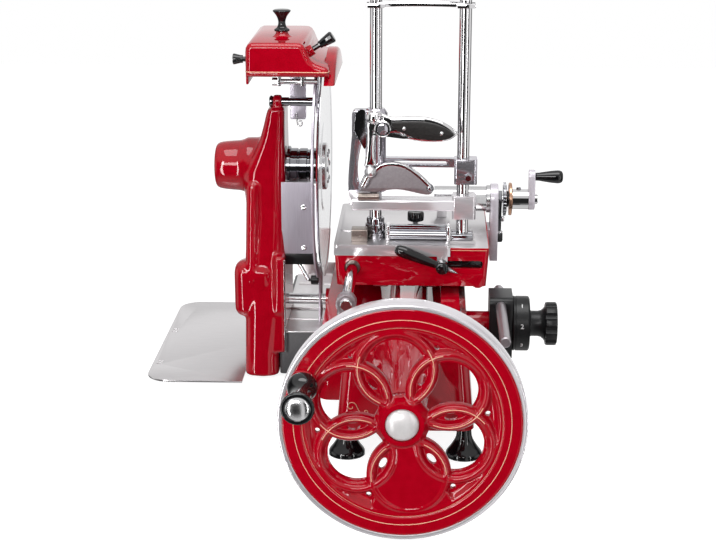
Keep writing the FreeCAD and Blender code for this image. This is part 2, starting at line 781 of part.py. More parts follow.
def blade_guard():
    """A ring behind the cutting edge, with a tail down to the tray and an arm up to the stay rod."""
    x = blade_x - blade_thickness - guard_gap - guard_thickness
    full = ring(guard_ring_out, guard_ring_in, V(x, blade_y, blade_z), AXIS_X, guard_thickness)
    tail = box(x, x + guard_thickness, blade_y - 22, blade_y + 22, deck_top_z + tray_thickness,
               blade_z - guard_ring_in - 4)
    stay_arm = box(x, x + guard_thickness, stay_y - 12, stay_y + 12, stay_z - 14, blade_z + guard_ring_in)
    holes = [stay_bore(), bore(cross_radius + 2, AXIS_X, V(x, cross_y, cross_z))]
    return fused(full, tail, stay_arm).cut(Part.makeCompound(holes))


def stay_rod():
    head = rod(8.5, V(std_top_left_x - 1, stay_y, stay_z), AXIS_X, 5)
    bar = rod(stay_radius, V(std_top_left_x + 4, stay_y, stay_z), AXIS_X, blade_x - 7 - std_top_left_x - 4)
    groove = ring(stay_radius + 2, stay_radius - 0.8, V(-172, stay_y, stay_z), AXIS_X, 1.6)
    return fused(head, bar).cut(groove)


def sharpener_post():
    plate = rounded(box(post_left_x, post_right_x, stay_y + 3, stay_y + 3 + post_thickness,
                        stay_z - 26, post_top_z), 2.5, AXIS_Y)
    return plate.cut(stay_bore())


def slice_deflector():
    y, thickness = deflector_front_y, deflector_thickness
    plate = box(deflector_left_x, deflector_right_x, y, y + thickness, deflector_bottom_z, deflector_top_z)
    heads = [rod(4.2, V(deflector_screw_x, y - 2, z), AXIS_Y, 2.5) for z in deflector_screw_z]
    return fused(rounded(plate, 5, AXIS_Y), *heads).cut(standard_solid())


def deflector_bar():
    y, top = deflector_front_y, deflector_bottom_z - 2
    bar = box(std_right_x, deflector_right_x + 2, y, y + deflector_bar_depth,
              top - deflector_bar_height, top)
    back = y + deflector_thickness
    stem = box(deflector_screw_x - 12, deflector_screw_x + 12, back, back + 6, top, deflector_top_z - 5)
    return fused(bar, stem).cut(standard_solid())


# ---- blade -------------------------------------------------------------------------------
def slicing_blade():
    """A dished disc: the edge is ground on the outer face, and the flange behind bolts to the shaft."""
    r = blade_radius
    profile = [(r, -0.5), (r, 0), (r - 12, -0.8), (70, -3), (62, -hub_seat),
               (blade_shaft_radius, -hub_seat), (blade_shaft_radius, -10), (58, -10), (66, -6.5),
               (r - 14, -4.6)]
    return turned(profile, V(blade_x, blade_y, blade_z), AXIS_X)


def blade_hub():
    r = hub_disc_radius
    return turned([(0, -hub_seat), (r, -hub_seat), (r, 0.5), (r - 3, 2.5), (12, 3.5), (0, 3.5)],
                  V(blade_x, blade_y, blade_z), AXIS_X)


def blade_shaft():
    left = barrel_left_x + 12
    shaft = rod(blade_shaft_radius, V(left, blade_y, blade_z), AXIS_X, blade_x - hub_seat - left)
    return fused(shaft, sprocket(high_sprocket_radius, blade_z))


# ---- carriage ----------------------------------------------------------------------------
carriage_back_y = carriage_front_y + carriage_depth
roller_z = rail_top_z + roller_radius + 0.3


def carriage_outside():
    left, right = carriage_left_x, carriage_right_x
    return lofted([(left + lean, right - lean, carriage_front_y, carriage_back_y, 5, z)
                   for lean, z in ((4, carriage_bottom_z), (0, carriage_top_z))], True)


def carriage_casting():
    """Open-bottomed, bored for the guide rod's bushes and slotted for the lock, with the roller's pin."""
    roller_y, skin = carriage_front_y + carriage_depth / 2, 10.0
    bead = rod(bead_radius, V(bead_x, carriage_front_y, bead_z), AXIS_Y, carriage_depth)
    inner_right_x = carriage_right_x - skin
    hollow = box(carriage_left_x + skin, inner_right_x, carriage_front_y + skin, carriage_back_y - skin,
                 carriage_bottom_z - 5, carriage_top_z - 8)
    bore = rod(bush_bore, V(rod_x, carriage_front_y - 5, rod_z), AXIS_Y, carriage_depth + 10)
    slot = rounded(box(slot_left_x, slot_right_x, carriage_front_y - 5, carriage_front_y + 15,
                       slot_z - 5.5, slot_z + 5.5), 4, AXIS_Y)
    body = carriage_outside().fuse(bead).cut(Part.makeCompound([hollow, slot, bore]))
    pin = rod(roller_pin_radius, V(rail_x - 6, roller_y, roller_z), AXIS_X, inner_right_x - rail_x + 7)
    collar = rod(roller_pin_radius + 3, V(rail_x + 6, roller_y, roller_z), AXIS_X, 6)
    return fused(body, pin, collar)


def carriage_bushes():
    return Part.makeCompound([ring(bush_bore, rod_radius + running, V(rod_x, y, rod_z), AXIS_Y, 12)
                              for y in (carriage_front_y + 4, carriage_back_y - 16)])


def guide_rod():
    return rod(rod_radius, V(rod_x, rod_front_y, rod_z), AXIS_Y, rod_back_y - rod_front_y)


def rod_bracket(y):
    post = lofted([(rod_x - half, rod_x + half, y, y + bracket_thickness, 3, z)
                   for half, z in ((13, base_top_z), (11, rod_z))], True)
    eye = rod(13, V(rod_x, y, rod_z), AXIS_Y, bracket_thickness)
    return fused(post, eye).cut(bore(rod_radius, AXIS_Y, V(rod_x, y, rod_z)))


def rod_brackets():
    return Part.makeCompound([rod_bracket(y) for y in (rod_front_y + 4, rod_back_y - 4 - bracket_thickness)])


def roller_rail():
    x0, x1 = rail_x - rail_thickness / 2, rail_x + rail_thickness / 2
    return box(x0, x1, rail_front_y, rail_back_y, base_top_z, rail_top_z)


def rail_roller():
    place = V(rail_x - 5, carriage_front_y + carriage_depth / 2, roller_z)
    return ring(roller_radius, roller_pin_radius + running, place, AXIS_X, 10)


def feed_bore():
    return bore(feed_radius + running, AXIS_X, V(0, feed_y, feed_z))


def end_plate():
    y, z = feed_y, feed_z
    plate = along_x([(y - 26, carriage_bottom_z), (y + 26, carriage_bottom_z), (y + 22, z), (y - 22, z)],
                    end_plate_x, end_plate_x + end_plate_thickness)
    head = rod(22, V(end_plate_x, y, z), AXIS_X, end_plate_thickness)
    foot = box(carriage_right_x - 6, end_plate_x, y - 22, y + 22, 190, 226)
    return fused(plate, head, foot).cut(carriage_outside()).cut(feed_bore())


# ---- meat table ---------------------------------------------------------------------------
table_z = carriage_top_z + 0.4


def meat_table():
    front, top_z = carriage_front_y - 0.5, table_z + table_thickness
    top = box(carriage_left_x, apron_right_x, front - apron_thickness, carriage_back_y, table_z, top_z)
    field = box(carriage_left_x + 5, field_right_x, field_front_y, carriage_back_y - 5,
                table_z, top_z + field_proud)
    apron = box(carriage_left_x, apron_right_x, front - apron_thickness, front,
                table_z - apron_drop + 4, table_z)
    wing = box(apron_right_x - 5, column_right_x + 18, column_y - 18, column_y + 18, table_z, top_z)
    tab = rod(8, V(lock_x, front - apron_thickness, slot_z), AXIS_Y, apron_thickness)
    web = box(lock_x - 7, lock_x + 7, front - apron_thickness, front, slot_z, table_z)
    pin = rod(lock_pin_radius, V(lock_x, lock_front_y + 3, slot_z), AXIS_Y, front + 8 - lock_front_y - 3)
    return fused(rounded(top, 5, AXIS_Z), rounded(field, 8, AXIS_Z), apron, wing, tab, web, pin)


def press_columns():
    z0, half = table_z + table_thickness, clamp_block / 2
    columns = [rod(column_radius, V(x, column_y, z0), AXIS_Z, column_top_z - z0) for x in column_places]
    collar = turned([(0, 0), (13.8, 0), (13.8, 20), (12, 22), (12, 28), (0, 28)],
                    V(column_left_x, column_y, z0), AXIS_Z)
    block = box(column_right_x - half, column_right_x + half, column_y - half, column_y + half, z0, z0 + 8)
    return Part.makeCompound([fused(columns[0], collar), fused(columns[1], rounded(block, 3, AXIS_Z))])


def crossbar():
    """A bowed bar between square seats on the columns' tops."""
    x0, x1, z0, thickness = column_left_x - 13, column_right_x + 13, column_top_z, 5
    mid = (x0 + x1) / 2
    low = Part.Arc(V(x0, 0, z0), V(mid, 0, z0 + 2), V(x1, 0, z0)).toShape()
    high = Part.Arc(V(x1, 0, z0 + thickness), V(mid, 0, z0 + 10), V(x0, 0, z0 + thickness)).toShape()
    ends = [Part.makeLine(V(x, 0, z0), V(x, 0, z0 + thickness)) for x in (x0, x1)]
    bar = Part.Face(Part.Wire([low, ends[1], high, ends[0]])).extrude(V(0, 16, 0))
    bar.translate(V(0, column_y - 8, 0))
    seats = [box(x - 12, x + 12, column_y - 12, column_y + 12, z0, z0 + thickness) for x in column_places]
    return fused(bar, *seats)


def column_nuts():
    nuts = [turned_curve([(8, 0), (8, 6), (5.5, 10), (0, 12.5)], [(0, 0)],
                         V(x, column_y, column_top_z + 5), AXIS_Z) for x in column_places]
    return Part.makeCompound(nuts).cut(crossbar())


# ---- clamp ----------------------------------------------------------------------------------
def column_cut():
    return Part.makeCompound([bore(column_radius + running, AXIS_Z, V(x, column_y, beam_z))
                              for x in column_places])


def clamp_casting():
    x, y = column_left_x, column_y
    r, low, high = sleeve_radius, sleeve_bottom_z, sleeve_top_z
    sleeve = turned([(0, low), (r, low), (r, high - 17), (r + 2, high - 13), (r + 2, high - 6),
                     (r - 2, high), (0, high)], V(x, y, 0), AXIS_Z)
    wing = rounded(box(wing_left_x, x, y - 11, y + 11, wing_bottom_z, wing_top_z), 6, AXIS_Y)
    heights = (wing_bottom_z + 8, 360, 338, low)
    outer = [(wing_left_x - dx, z) for dx, z in zip((0, 2, 4, 5), heights)]
    inner = [(wing_left_x + dx, z) for dx, z in zip((16, 11, 8, 14), heights)]
    strut = curved_plate(outer, inner, y - strut_depth / 2, strut_depth)
    ear = box(x, lever_pivot_x + 10, lever_front_y + lever_depth + apart, y,
              lever_pivot_z - ear_height / 2, lever_pivot_z + ear_height / 2)
    pin = rod(lever_pin_radius, V(lever_pivot_x, lever_front_y - 2, lever_pivot_z), AXIS_Y,
              lever_depth + 4)
    head = rod(7, V(lever_pivot_x, lever_front_y - 4, lever_pivot_z), AXIS_Y, 3.5)
    beam = box(x + 12, column_right_x - 10, y - 7, y + 7, beam_z - beam_half, beam_z + beam_half)
    window = box(x + 24, column_right_x - 22, y - 8, y + 8, beam_z - 2.5, beam_z + 2.5)
    half = clamp_block / 2
    end = rounded(box(column_right_x - half + 3, column_right_x + half + 4, y - half + 1, y + half - 1,
                      beam_z - 28, beam_z + beam_half), 4, AXIS_Z)
    body = fused(sleeve, wing, strut, rounded(ear, 6, AXIS_Y), pin, head,
                 beam.cut(rounded(window, 2.4, AXIS_Y)), end)
    return body.cut(column_cut())


def press_bar():
    y, half = column_y - 1, clamp_block / 2
    bar = box(column_left_x - 32, column_right_x - 12, y - half, y + half - 2, bar_z - 8, bar_z + 7)
    block = rounded(box(column_right_x - half + 1, column_right_x + half + 3, y - half, y + half,
                        bar_z - 19, bar_z + 13), 4, AXIS_Z)
    post = box(wing_left_x - 4, wing_left_x + 12, y - 10, y + 7, bar_z, sleeve_bottom_z)
    return fused(rounded(bar, 3, AXIS_X), block, post).cut(column_cut())


def press_foot():
    """The curved plate that bears on the meat, and the ball that it tilts on."""
    top = [(-68, 307), (-60, 324), (-38, 344), (-12, 345), (10, 333), (30, 314), (32, 307)]
    low = [(-68, 307), (-47, 305), (-16, 309), (23, 302), (32, 307)]
    plate = curved_plate(top, low, column_y - 18, foot_thickness)
    knuckle = Part.makeSphere(ball_radius, V(*ball))
    return plate.fuse(knuckle).cut(bore(sleeve_radius, AXIS_Z, V(column_left_x, column_y, beam_z)))


def lever_arm():
    """A looped lever: the upper limb carries the grips, and the lower one springs back to the eye."""
    top = [(-42, 405), (-20, 408), (10, 408.5), (36, 403), (57, 393), (67, 383)]
    low = [(-42, 383), (-26, 373), (-4, 367), (20, 368), (44, 374), (67, 383)]
    slot_top = [(-20, 381), (4, 376.6), (28, 376.4)]
    slot_low = [(-20, 381), (4, 371.5), (28, 376.4)]
    arm = curved_plate(top, low, lever_front_y + 5, 6)
    slot = curved_plate(slot_top, slot_low, lever_front_y, lever_depth)
    eye = rod(11, V(lever_pivot_x, lever_front_y, lever_pivot_z), AXIS_Y, lever_depth)
    pin_bore = bore(lever_pin_radius + running, AXIS_Y, V(lever_pivot_x, lever_front_y, lever_pivot_z))
    return fused(arm.cut(slot), eye).cut(pin_bore)


def lever_grips():
    top = [(-22, 401), (0, 405), (24, 403), (45, 396.5), (60, 387)]
    low = [(-22, 390), (2, 379.5), (24, 376), (46, 380), (60, 387)]
    return Part.makeCompound([curved_plate(top, low, y, 5) for y in (lever_front_y, lever_front_y + 11)])


# ---- fence and lock on the table --------------------------------------------------------------
def table_fence():
    z0 = table_z + table_thickness
    x0, x1, y0, end = fence_left_x, fence_right_x, fence_front_y, fence_end_thickness
    foot = box(x0, x1, y0, y0 + 8, z0, z0 + 9)
    bar = rod(8.5, V(x0, y0 + 12, z0 + 10), AXIS_X, x1 - x0)
    ends = [rounded(box(x, x + end, y0, y0 + 23, z0, z0 + 21), 4, AXIS_X) for x in (x0 - end + 1, x1)]
    return fused(foot, bar, *ends)


def fence_knob():
    z0 = table_z + table_thickness
    x, y = fence_knob_x, fence_front_y + 34
    stem = rod(4, V(x, y, z0), AXIS_Z, 22)
    head = lobed(fence_knob_radius, 5, 4.0, V(x, y, z0 + 20), AXIS_Z, 13)
    return fused(stem, head)


def lock_lever():
    """A turned handle to the left of its hub and a short point to the right."""
    lean = V(-63, 0, 25).normalize()
    hub = rod(8.5, V(lock_x, lock_front_y, slot_z), AXIS_Y, carriage_front_y - 5 - lock_front_y)
    root = V(lock_x, lock_front_y + 8, slot_z)
    curve = [(4.5, 0), (4.6, 10), (6.8, 32), (8.0, 56), (6.5, 65), (0, 68)]
    point = Part.makeCone(3.6, 1.4, 20, root, lean * -1)
    pin_bore = rod(lock_pin_radius + running, V(lock_x, lock_front_y + 2.9, slot_z), AXIS_Y, 60)
    return fused(hub, turned_curve(curve, [(0, 0)], root, lean), point).cut(pin_bore)


# ---- cross feed ---------------------------------------------------------------------------------
feed_grip_z = feed_z + feed_crank_length


def feed_screw():
    return rod(feed_radius, V(tube_left_x + 1, feed_y, feed_z), AXIS_X, crank_arm_x - tube_left_x - 1)


def feed_nut():
    x0, x1 = tube_left_x + 4, tube_left_x + 4 + nut_length
    body = rod(tube_radius - 4, V(x0, feed_y, feed_z), AXIS_X, nut_length)
    leg = box(x0, x1, feed_y - 4, feed_y + 4, table_z + table_thickness, feed_z - 8)
    return fused(body, leg).cut(feed_bore())


def screw_tube():
    """A tube round the feed screw, open below for the nut's leg."""
    x0, x1, z = tube_left_x, end_plate_x, feed_z
    tube = ring(tube_radius, tube_radius - 3, V(x0, feed_y, z), AXIS_X, x1 - x0)
    return tube.cut(box(x0 - 1, x1 - 4, feed_y - 6, feed_y + 6, z - tube_radius - 1, z))


def feed_ratchet():
    x, width, reach = ratchet_x, ratchet_width, ratchet_radius + 0.4
    notches = []
    for i in range(ratchet_teeth):
        angle = 2 * math.pi * i / ratchet_teeth
        place = V(x - 0.5, feed_y + reach * math.cos(angle), feed_z + reach * math.sin(angle))
        notches.append(rod(1.7, place, AXIS_X, width + 1.5))
    wheel = ring(ratchet_radius, feed_radius, V(x, feed_y, feed_z), AXIS_X, width)
    return wheel.cut(Part.makeCompound(notches))


def feed_dial():
    x0, x1, r = feed_dial_x, feed_crank_x - apart, feed_dial_radius
    profile = [(feed_radius, x0), (r - 1.5, x0), (r, x0 + 1), (r, x1 - 1), (r - 1.5, x1), (feed_radius, x1)]
    return turned(profile, V(0, feed_y, feed_z), AXIS_X)


def feed_crank():
    hub = ring(14.5, feed_radius, V(feed_crank_x, feed_y, feed_z), AXIS_X, crank_arm_x - feed_crank_x)
    low = rod(15, V(crank_arm_x, feed_y, feed_z), AXIS_X, crank_arm_thickness)
    arm = box(crank_arm_x, crank_arm_x + crank_arm_thickness, feed_y - 10, feed_y + 10, feed_z, feed_grip_z)
    high = rod(10, V(crank_arm_x, feed_y, feed_grip_z), AXIS_X, crank_arm_thickness)
    spindle = rod(feed_spindle_radius, V(crank_arm_x + 1, feed_y, feed_grip_z), AXIS_X,
                  feed_grip_length + 1)
    return fused(hub, low, arm, high, spindle)


def feed_grip():
    start = crank_arm_x + crank_arm_thickness + 0.5
    curve = [(5.5, 0), (5.8, 6), (6.6, 9), (8.6, 22), (9.4, 33), (7.5, 37.5), (0, feed_grip_length)]
    grip = turned_curve(curve, [(0, 0)], V(start, feed_y, feed_grip_z), AXIS_X)
    return grip.cut(rod(feed_spindle_radius + running, V(start - 1, feed_y, feed_grip_z), AXIS_X,
                        feed_grip_length - 5))


def pawl_lever():
    x, width = end_plate_x + end_plate_thickness + apart, 5.0
    eye = rod(12, V(x, feed_y, feed_z), AXIS_X, width)
    arm = box(x, x + width, feed_y - 5, feed_y + 5, feed_z - pawl_length + 4, feed_z)
    tip = rod(6, V(x, feed_y, feed_z - pawl_length), AXIS_X, width + 2)
    return fused(eye, arm, tip).cut(feed_bore())


# ---- slice thickness dial -----------------------------------------------------------------------
pinion_radius = control_z - control_radius - dial_z - gear_gap      # rolls on the rod as on a rack


def dial_bracket():
    """A block on the base's side, chambered for the pinion that moves the control rod."""
    block = rounded(box(bracket_x, dial_x - apart, dial_y - 30, dial_y + 30, 84, 170), 9, AXIS_X)
    chamber_x, chamber = control_x - pinion_width / 2 - 1, pinion_width + 2
    cuts = [bore(dial_shaft_radius + running, AXIS_X, V(dial_x, dial_y, dial_z)),
            bore(control_radius + running, AXIS_Y, V(control_x, dial_y, control_z)),
            rod(pinion_radius + 1, V(chamber_x, dial_y, dial_z), AXIS_X, chamber)]
    return block.cut(Part.makeCompound(cuts))


def control_rod():
    return rod(control_radius, V(control_x, rod_front_y, control_z), AXIS_Y, control_length)


def thickness_dial():
    """Drum, neck and lobed knob on one shaft, with the pinion inside the bracket."""
    r, neck_end = dial_radius, dial_width + 20
    profile = [(0, 0), (r - 2.5, 0), (r, 2.5), (r, dial_width - 2.5), (r - 2.5, dial_width),
               (18, dial_width), (17, dial_width + 2), (17, neck_end), (0, neck_end)]
    drum = turned(profile, V(dial_x, dial_y, dial_z), AXIS_X)
    shaft = rod(dial_shaft_radius, V(boss_x + 3, dial_y, dial_z), AXIS_X, dial_x - boss_x)
    pinion = rod(pinion_radius, V(control_x - pinion_width / 2, dial_y, dial_z), AXIS_X, pinion_width)
    knob = lobed(30, knob_lobes, 6.0, V(dial_x + neck_end - 1, dial_y, dial_z), AXIS_X, 20)
    return fused(drum, shaft, pinion, knob)


# ---- sharpener ------------------------------------------------------------------------------------
hone_axis = V(math.cos(math.radians(hone_slope_deg)), 0, math.sin(math.radians(hone_slope_deg)))


def cover_block(inset, low):
    """The cover's outside, or its hollow when inset by the wall, down to a height."""
    x0, x1, top = cover_left_x + inset, cover_right_x - inset, cover_top_z - inset
    outline = [(x0, low), (x0, top), (x1 - 35, top), (x1 - 4, top - 19), (x1, top - 26), (x1, low)]
    block = along_y(outline, cover_front_y + inset, cover_back_y - inset)
    shoulder = [edge for edge in edges_along(block, AXIS_Y)
                if edge.CenterOfMass.x < x0 + 1 and edge.CenterOfMass.z > top - 1]
    block = block.makeFillet(cover_round - inset, shoulder)
    ends = [edge for side in (AXIS_Y, AXIS_Y * -1) for edge in outer_edges(block, side)
            if edge.BoundBox.ZMax > low + 1]
    return block.makeFillet(cover_edge - inset, ends)


def sharpener_cover():
    left_lip = box(cover_left_x, cover_left_x + cover_wall, cover_front_y + cover_edge,
                   cover_back_y - cover_edge, cover_lip_z, cover_bottom_z + 1)
    outer = fused(cover_block(0, cover_bottom_z), left_lip)
    above_lip = box(-200, 0, 0, 1000, cover_lip_z, 600)
    cheek = cheek_right_x - cover_right_x
    cheek_outer = rod(cheek_radius, V(cover_right_x - 1, blade_y, blade_z), AXIS_X, cheek + 1)
    cheek_outer = cheek_outer.makeFillet(cheek_edge, outer_edges(cheek_outer, AXIS_X)).common(above_lip)
    cheek_inner = rod(cheek_radius - cover_wall, V(cover_right_x - 10, blade_y, blade_z), AXIS_X,
                      cheek + 10 - cover_wall)
    flange = turned_curve([(16, -0.5), (12.5, 0.8), (9.2, 3.6), (7.6, cover_knob_seat)],
                          [(0, cover_knob_seat), (0, -0.5)], V(knob_x, stay_y, cover_top_z), AXIS_Z)
    hone = rod(7.5, V(*hone_root) - hone_axis * 8, hone_axis, 11)
    body = fused(outer, cheek_outer, flange, hone)
    body = body.cut(cover_block(cover_wall, cover_lip_z - 5)).cut(cheek_inner.common(above_lip))
    guide = box(post_left_x - guide_margin, post_right_x + guide_margin, stay_y - 3,
                stay_y + 3 + post_thickness + 5, cover_lip_z + 1, cover_top_z - 1)
    loose, post_y = 0.35, stay_y + 3
    pocket = box(post_left_x - loose, post_right_x + loose, post_y - loose, post_y + post_thickness + loose,
                 cover_lip_z, post_top_z + 1)
    stems = [bore(cover_stem_radius, AXIS_Z, V(knob_x, stay_y, cover_top_z)),
             rod(stem_radius + running, V(cover_left_x - 5, grind_y, grind_z), AXIS_X, 30),
             rod(stem_radius + running, V(*hone_root) - hone_axis * 20, hone_axis, 40)]
    return fused(body, guide).cut(Part.makeCompound(stems)).cut(pocket)


def cover_knob():
    z0 = cover_top_z + cover_knob_seat
    curve = [(10.5, 0), (10.5, 2.5), (6.2, 6), (5.2, 13), (8.0, 21), (12.5, 27), (11.5, 28.8), (0, 30.5)]
    stem = rod(cover_stem_radius, V(knob_x, stay_y, post_top_z + 4), AXIS_Z, z0 - post_top_z - 2)
    return fused(turned_curve(curve, [(0, 0)], V(knob_x, stay_y, z0), AXIS_Z), stem)


def grinding_knob():
    x = cover_left_x - 6.5
    curve = [(5.5, 0), (5.6, 3), (7.6, 12), (7.0, 13.5), (0, 14)]
    knob = turned_curve(curve, [(0, 0)], V(x, grind_y, grind_z), AXIS_X * -1)
    stem = rod(stem_radius, V(x - 2, grind_y, grind_z), AXIS_X, grind_stem + 2)
    stone = rod(stone_radius, V(x + grind_stem, grind_y, grind_z), AXIS_X, 7)
    return fused(knob, stem, stone)


def honing_knob():
    root = V(*hone_root) + hone_axis * hone_knob_gap
    curve = [(5.0, 0), (5.4, 5), (8.2, 20), (7.6, 22), (0, 23)]
    knob = turned_curve(curve, [(0, 0)], root, hone_axis)
    stem = rod(stem_radius, root + hone_axis * 3, hone_axis * -1, hone_stem)
    return fused(knob, stem)


def stone_spindle():
    y, z = cover_front_y + cover_wall + 8, 443.0
    bar = rod(3.6, V(-190, y, z), AXIS_X, 62)
    knurl = rod(5.5, V(-190, y, z), AXIS_X, 8)
    hangers = [box(x, x + 4, cover_front_y + cover_wall, y + 5, z - 5, z + 20) for x in (-182, -150)]
    return fused(bar, knurl, *hangers)


pieces = (
    flywheel_casting, flywheel_rim, flywheel_cap, crank_spindle, crank_grip, main_shaft,
    base_casting, shaft_bushes, bell_feet, base_deck, drip_tray, receiving_plate,
    blade_standard, drive_chain, cross_shaft, blade_bearing, blade_guard, stay_rod, sharpener_post,
    slice_deflector, deflector_bar, slicing_blade, blade_hub, blade_shaft,
    sharpener_cover, cover_knob, grinding_knob, honing_knob, stone_spindle,
    carriage_casting, carriage_bushes, guide_rod, rod_brackets, roller_rail, rail_roller,
    end_plate, screw_tube, feed_screw, feed_nut, feed_ratchet, feed_dial, feed_crank, feed_grip, pawl_lever,
    meat_table, table_fence, fence_knob, lock_lever, press_columns, crossbar, column_nuts,
    clamp_casting, press_bar, press_foot, lever_arm, lever_grips,
    dial_bracket, control_rod, thickness_dial,
)
parts = {piece.__name__: piece() for piece in pieces}
extent = Part.makeCompound(list(parts.values())).BoundBox
origin = V((extent.XMin + extent.XMax) / 2, (extent.YMin + extent.YMax) / 2, extent.ZMin)

os.makedirs("parts", exist_ok=True)
for name, shape in parts.items():
    shape.translate(origin * -1)
    shape.exportStep("parts/" + name + ".step")
    print(name, shape.isValid(), len(shape.Solids), round(shape.Volume))
print("origin", origin, "size", extent.XLength, extent.YLength, extent.ZLength)
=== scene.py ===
import bpy
import json
import math
import numpy as np
from mathutils import Matrix, Vector


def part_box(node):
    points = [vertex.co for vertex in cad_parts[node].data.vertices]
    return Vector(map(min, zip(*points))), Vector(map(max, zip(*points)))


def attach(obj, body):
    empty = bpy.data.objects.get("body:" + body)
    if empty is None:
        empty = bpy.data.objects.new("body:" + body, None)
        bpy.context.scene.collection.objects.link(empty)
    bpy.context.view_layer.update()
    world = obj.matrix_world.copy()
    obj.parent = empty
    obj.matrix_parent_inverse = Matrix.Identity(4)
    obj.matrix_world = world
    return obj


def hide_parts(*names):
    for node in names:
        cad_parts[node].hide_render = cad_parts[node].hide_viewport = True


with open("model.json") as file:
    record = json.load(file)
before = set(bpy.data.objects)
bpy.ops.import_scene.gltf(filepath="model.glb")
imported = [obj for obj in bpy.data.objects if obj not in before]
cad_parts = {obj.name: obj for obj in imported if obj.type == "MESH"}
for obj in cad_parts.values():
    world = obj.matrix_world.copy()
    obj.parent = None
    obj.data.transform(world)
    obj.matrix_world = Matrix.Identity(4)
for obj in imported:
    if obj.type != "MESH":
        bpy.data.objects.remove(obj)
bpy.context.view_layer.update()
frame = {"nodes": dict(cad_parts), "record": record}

# The drawing's zero: flywheel axis across, flywheel face lengthwise, table top for height. Sizes are in mm.
rimLow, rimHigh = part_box("flywheel_rim")
drawingZero = Vector(((rimLow.x + rimHigh.x) / 2, rimLow.y, 0.0))
bodyOf = {node: body for body, nodes in frame["record"]["behaviour"]["bodies"].items() for node in nodes}


def at(x, y, z):
    return drawingZero + Vector((x, y, z)) / 1000


def deselect():
    if bpy.context.object and bpy.context.object.mode != "OBJECT":
        bpy.ops.object.mode_set(mode="OBJECT")
    bpy.ops.object.select_all(action="DESELECT")


def pick(*objects):
    deselect()
    for item in objects:
        item.select_set(True)
    bpy.context.view_layer.objects.active = objects[0]
    return objects[0]


def bakePlace(obj):
    pick(obj)
    bpy.ops.object.transform_apply(location=True, rotation=True, scale=True)
    return obj


def applyModifiers(obj):
    pick(obj)
    for modifier in list(obj.modifiers):
        bpy.ops.object.modifier_apply(modifier=modifier.name)
    return obj


def tidyMesh(obj, merge=0.02):
    pick(obj)
    bpy.ops.object.mode_set(mode="EDIT")
    bpy.ops.mesh.select_all(action="SELECT")
    bpy.ops.mesh.remove_doubles(threshold=merge / 1000)
    bpy.ops.mesh.normals_make_consistent(inside=False)
    bpy.ops.object.mode_set(mode="OBJECT")
    return obj


def smoothShade(obj, angle=32):
    pick(obj)
    bpy.ops.object.shade_smooth_by_angle(angle=math.radians(angle))
    return obj


def named(obj, name):
    obj.name = name
    obj.data.name = name
    return obj


def curveThrough(points, steps=6):
    # a smooth line through the points, with steps between each two
    line = []
    for i in range(len(points) - 1):
        p0 = Vector(points[max(i - 1, 0)])
        p1, p2 = Vector(points[i]), Vector(points[i + 1])
        p3 = Vector(points[min(i + 2, len(points) - 1)])
        for k in range(steps):
            t = k / steps
            line.append(0.5 * ((2 * p1) + (p2 - p0) * t + (2 * p0 - 5 * p1 + 4 * p2 - p3) * t * t
                               + (3 * p1 - p0 - 3 * p2 + p3) * t ** 3))
    return [tuple(p) for p in line] + [tuple(points[-1])]


def turned(name, rings, start, direction=(0, 0, 1), sides=72, angle=32):
    # a lathe job: circles of (radius, height) pulled one from the next
    rings = [(max(radius, 0.012), height) for radius, height in rings]
    deselect()
    radius, height = rings[0]
    bpy.ops.mesh.primitive_circle_add(vertices=sides, radius=radius / 1000, location=(0, 0, height / 1000))
    obj = named(bpy.context.object, name)
    bpy.ops.object.mode_set(mode="EDIT")
    bpy.ops.mesh.select_all(action="SELECT")
    for nextRadius, nextHeight in rings[1:]:
        bpy.ops.mesh.extrude_region_move(TRANSFORM_OT_translate={"value": (0, 0,
                                                                           (nextHeight - height) / 1000)})
        grow = nextRadius / radius
        bpy.ops.transform.resize(value=(grow, grow, 1), center_override=(0, 0, nextHeight / 1000))
        radius, height = nextRadius, nextHeight
    bpy.ops.object.mode_set(mode="OBJECT")
    bakePlace(obj)
    tidyMesh(obj, 0.03)
    turn = Vector(direction).normalized().to_track_quat("Z", "Y").to_matrix().to_4x4()
    obj.matrix_world = Matrix.Translation(start) @ turn
    bakePlace(obj)
    return smoothShade(obj, angle)


planes = {"XZ": Matrix(((1, 0, 0, 0), (0, 0, -1, 0), (0, 1, 0, 0), (0, 0, 0, 1))),
          "YZ": Matrix(((0, 0, 1, 0), (1, 0, 0, 0), (0, 1, 0, 0), (0, 0, 0, 1)))}


def profilePlate(name, outlines, middle, thickness, edge, plane="XZ", angle=32):
    # a flat curve with thickness and a rounded edge, the first outline filled and the others cut out of it
    deselect()
    bpy.ops.object.add(type="CURVE")
    obj = named(bpy.context.object, name)
    flat = obj.data
    flat.dimensions, flat.fill_mode = "2D", "BOTH"
    flat.extrude = (thickness / 2 - edge) / 1000
    flat.bevel_depth, flat.bevel_resolution, flat.offset = edge / 1000, 3, -edge / 1000
    for outline in outlines:
        spline = flat.splines.new("POLY")
        spline.points.add(len(outline) - 1)
        for point, (a, b) in zip(spline.points, outline):
            point.co = (a / 1000, b / 1000, 0, 1)
        spline.use_cyclic_u = True
    pick(obj)
    bpy.ops.object.convert(target="MESH")
    obj = bpy.context.object
    named(obj, name)
    shift = {"XZ": at(0, middle, 0), "YZ": at(middle, 0, 0)}[plane]
    obj.matrix_world = Matrix.Translation(shift) @ planes[plane]
    bakePlace(obj)
    tidyMesh(obj, 0.005)
    return smoothShade(obj, angle)


def cylinder(name, radius, length, start, direction=(0, 0, 1), sides=48):
    # a plain round form, to cut with or to cast in
    return turned(name, [(0, 0), (radius, 0), (radius, length), (0, length)], start, direction, sides)


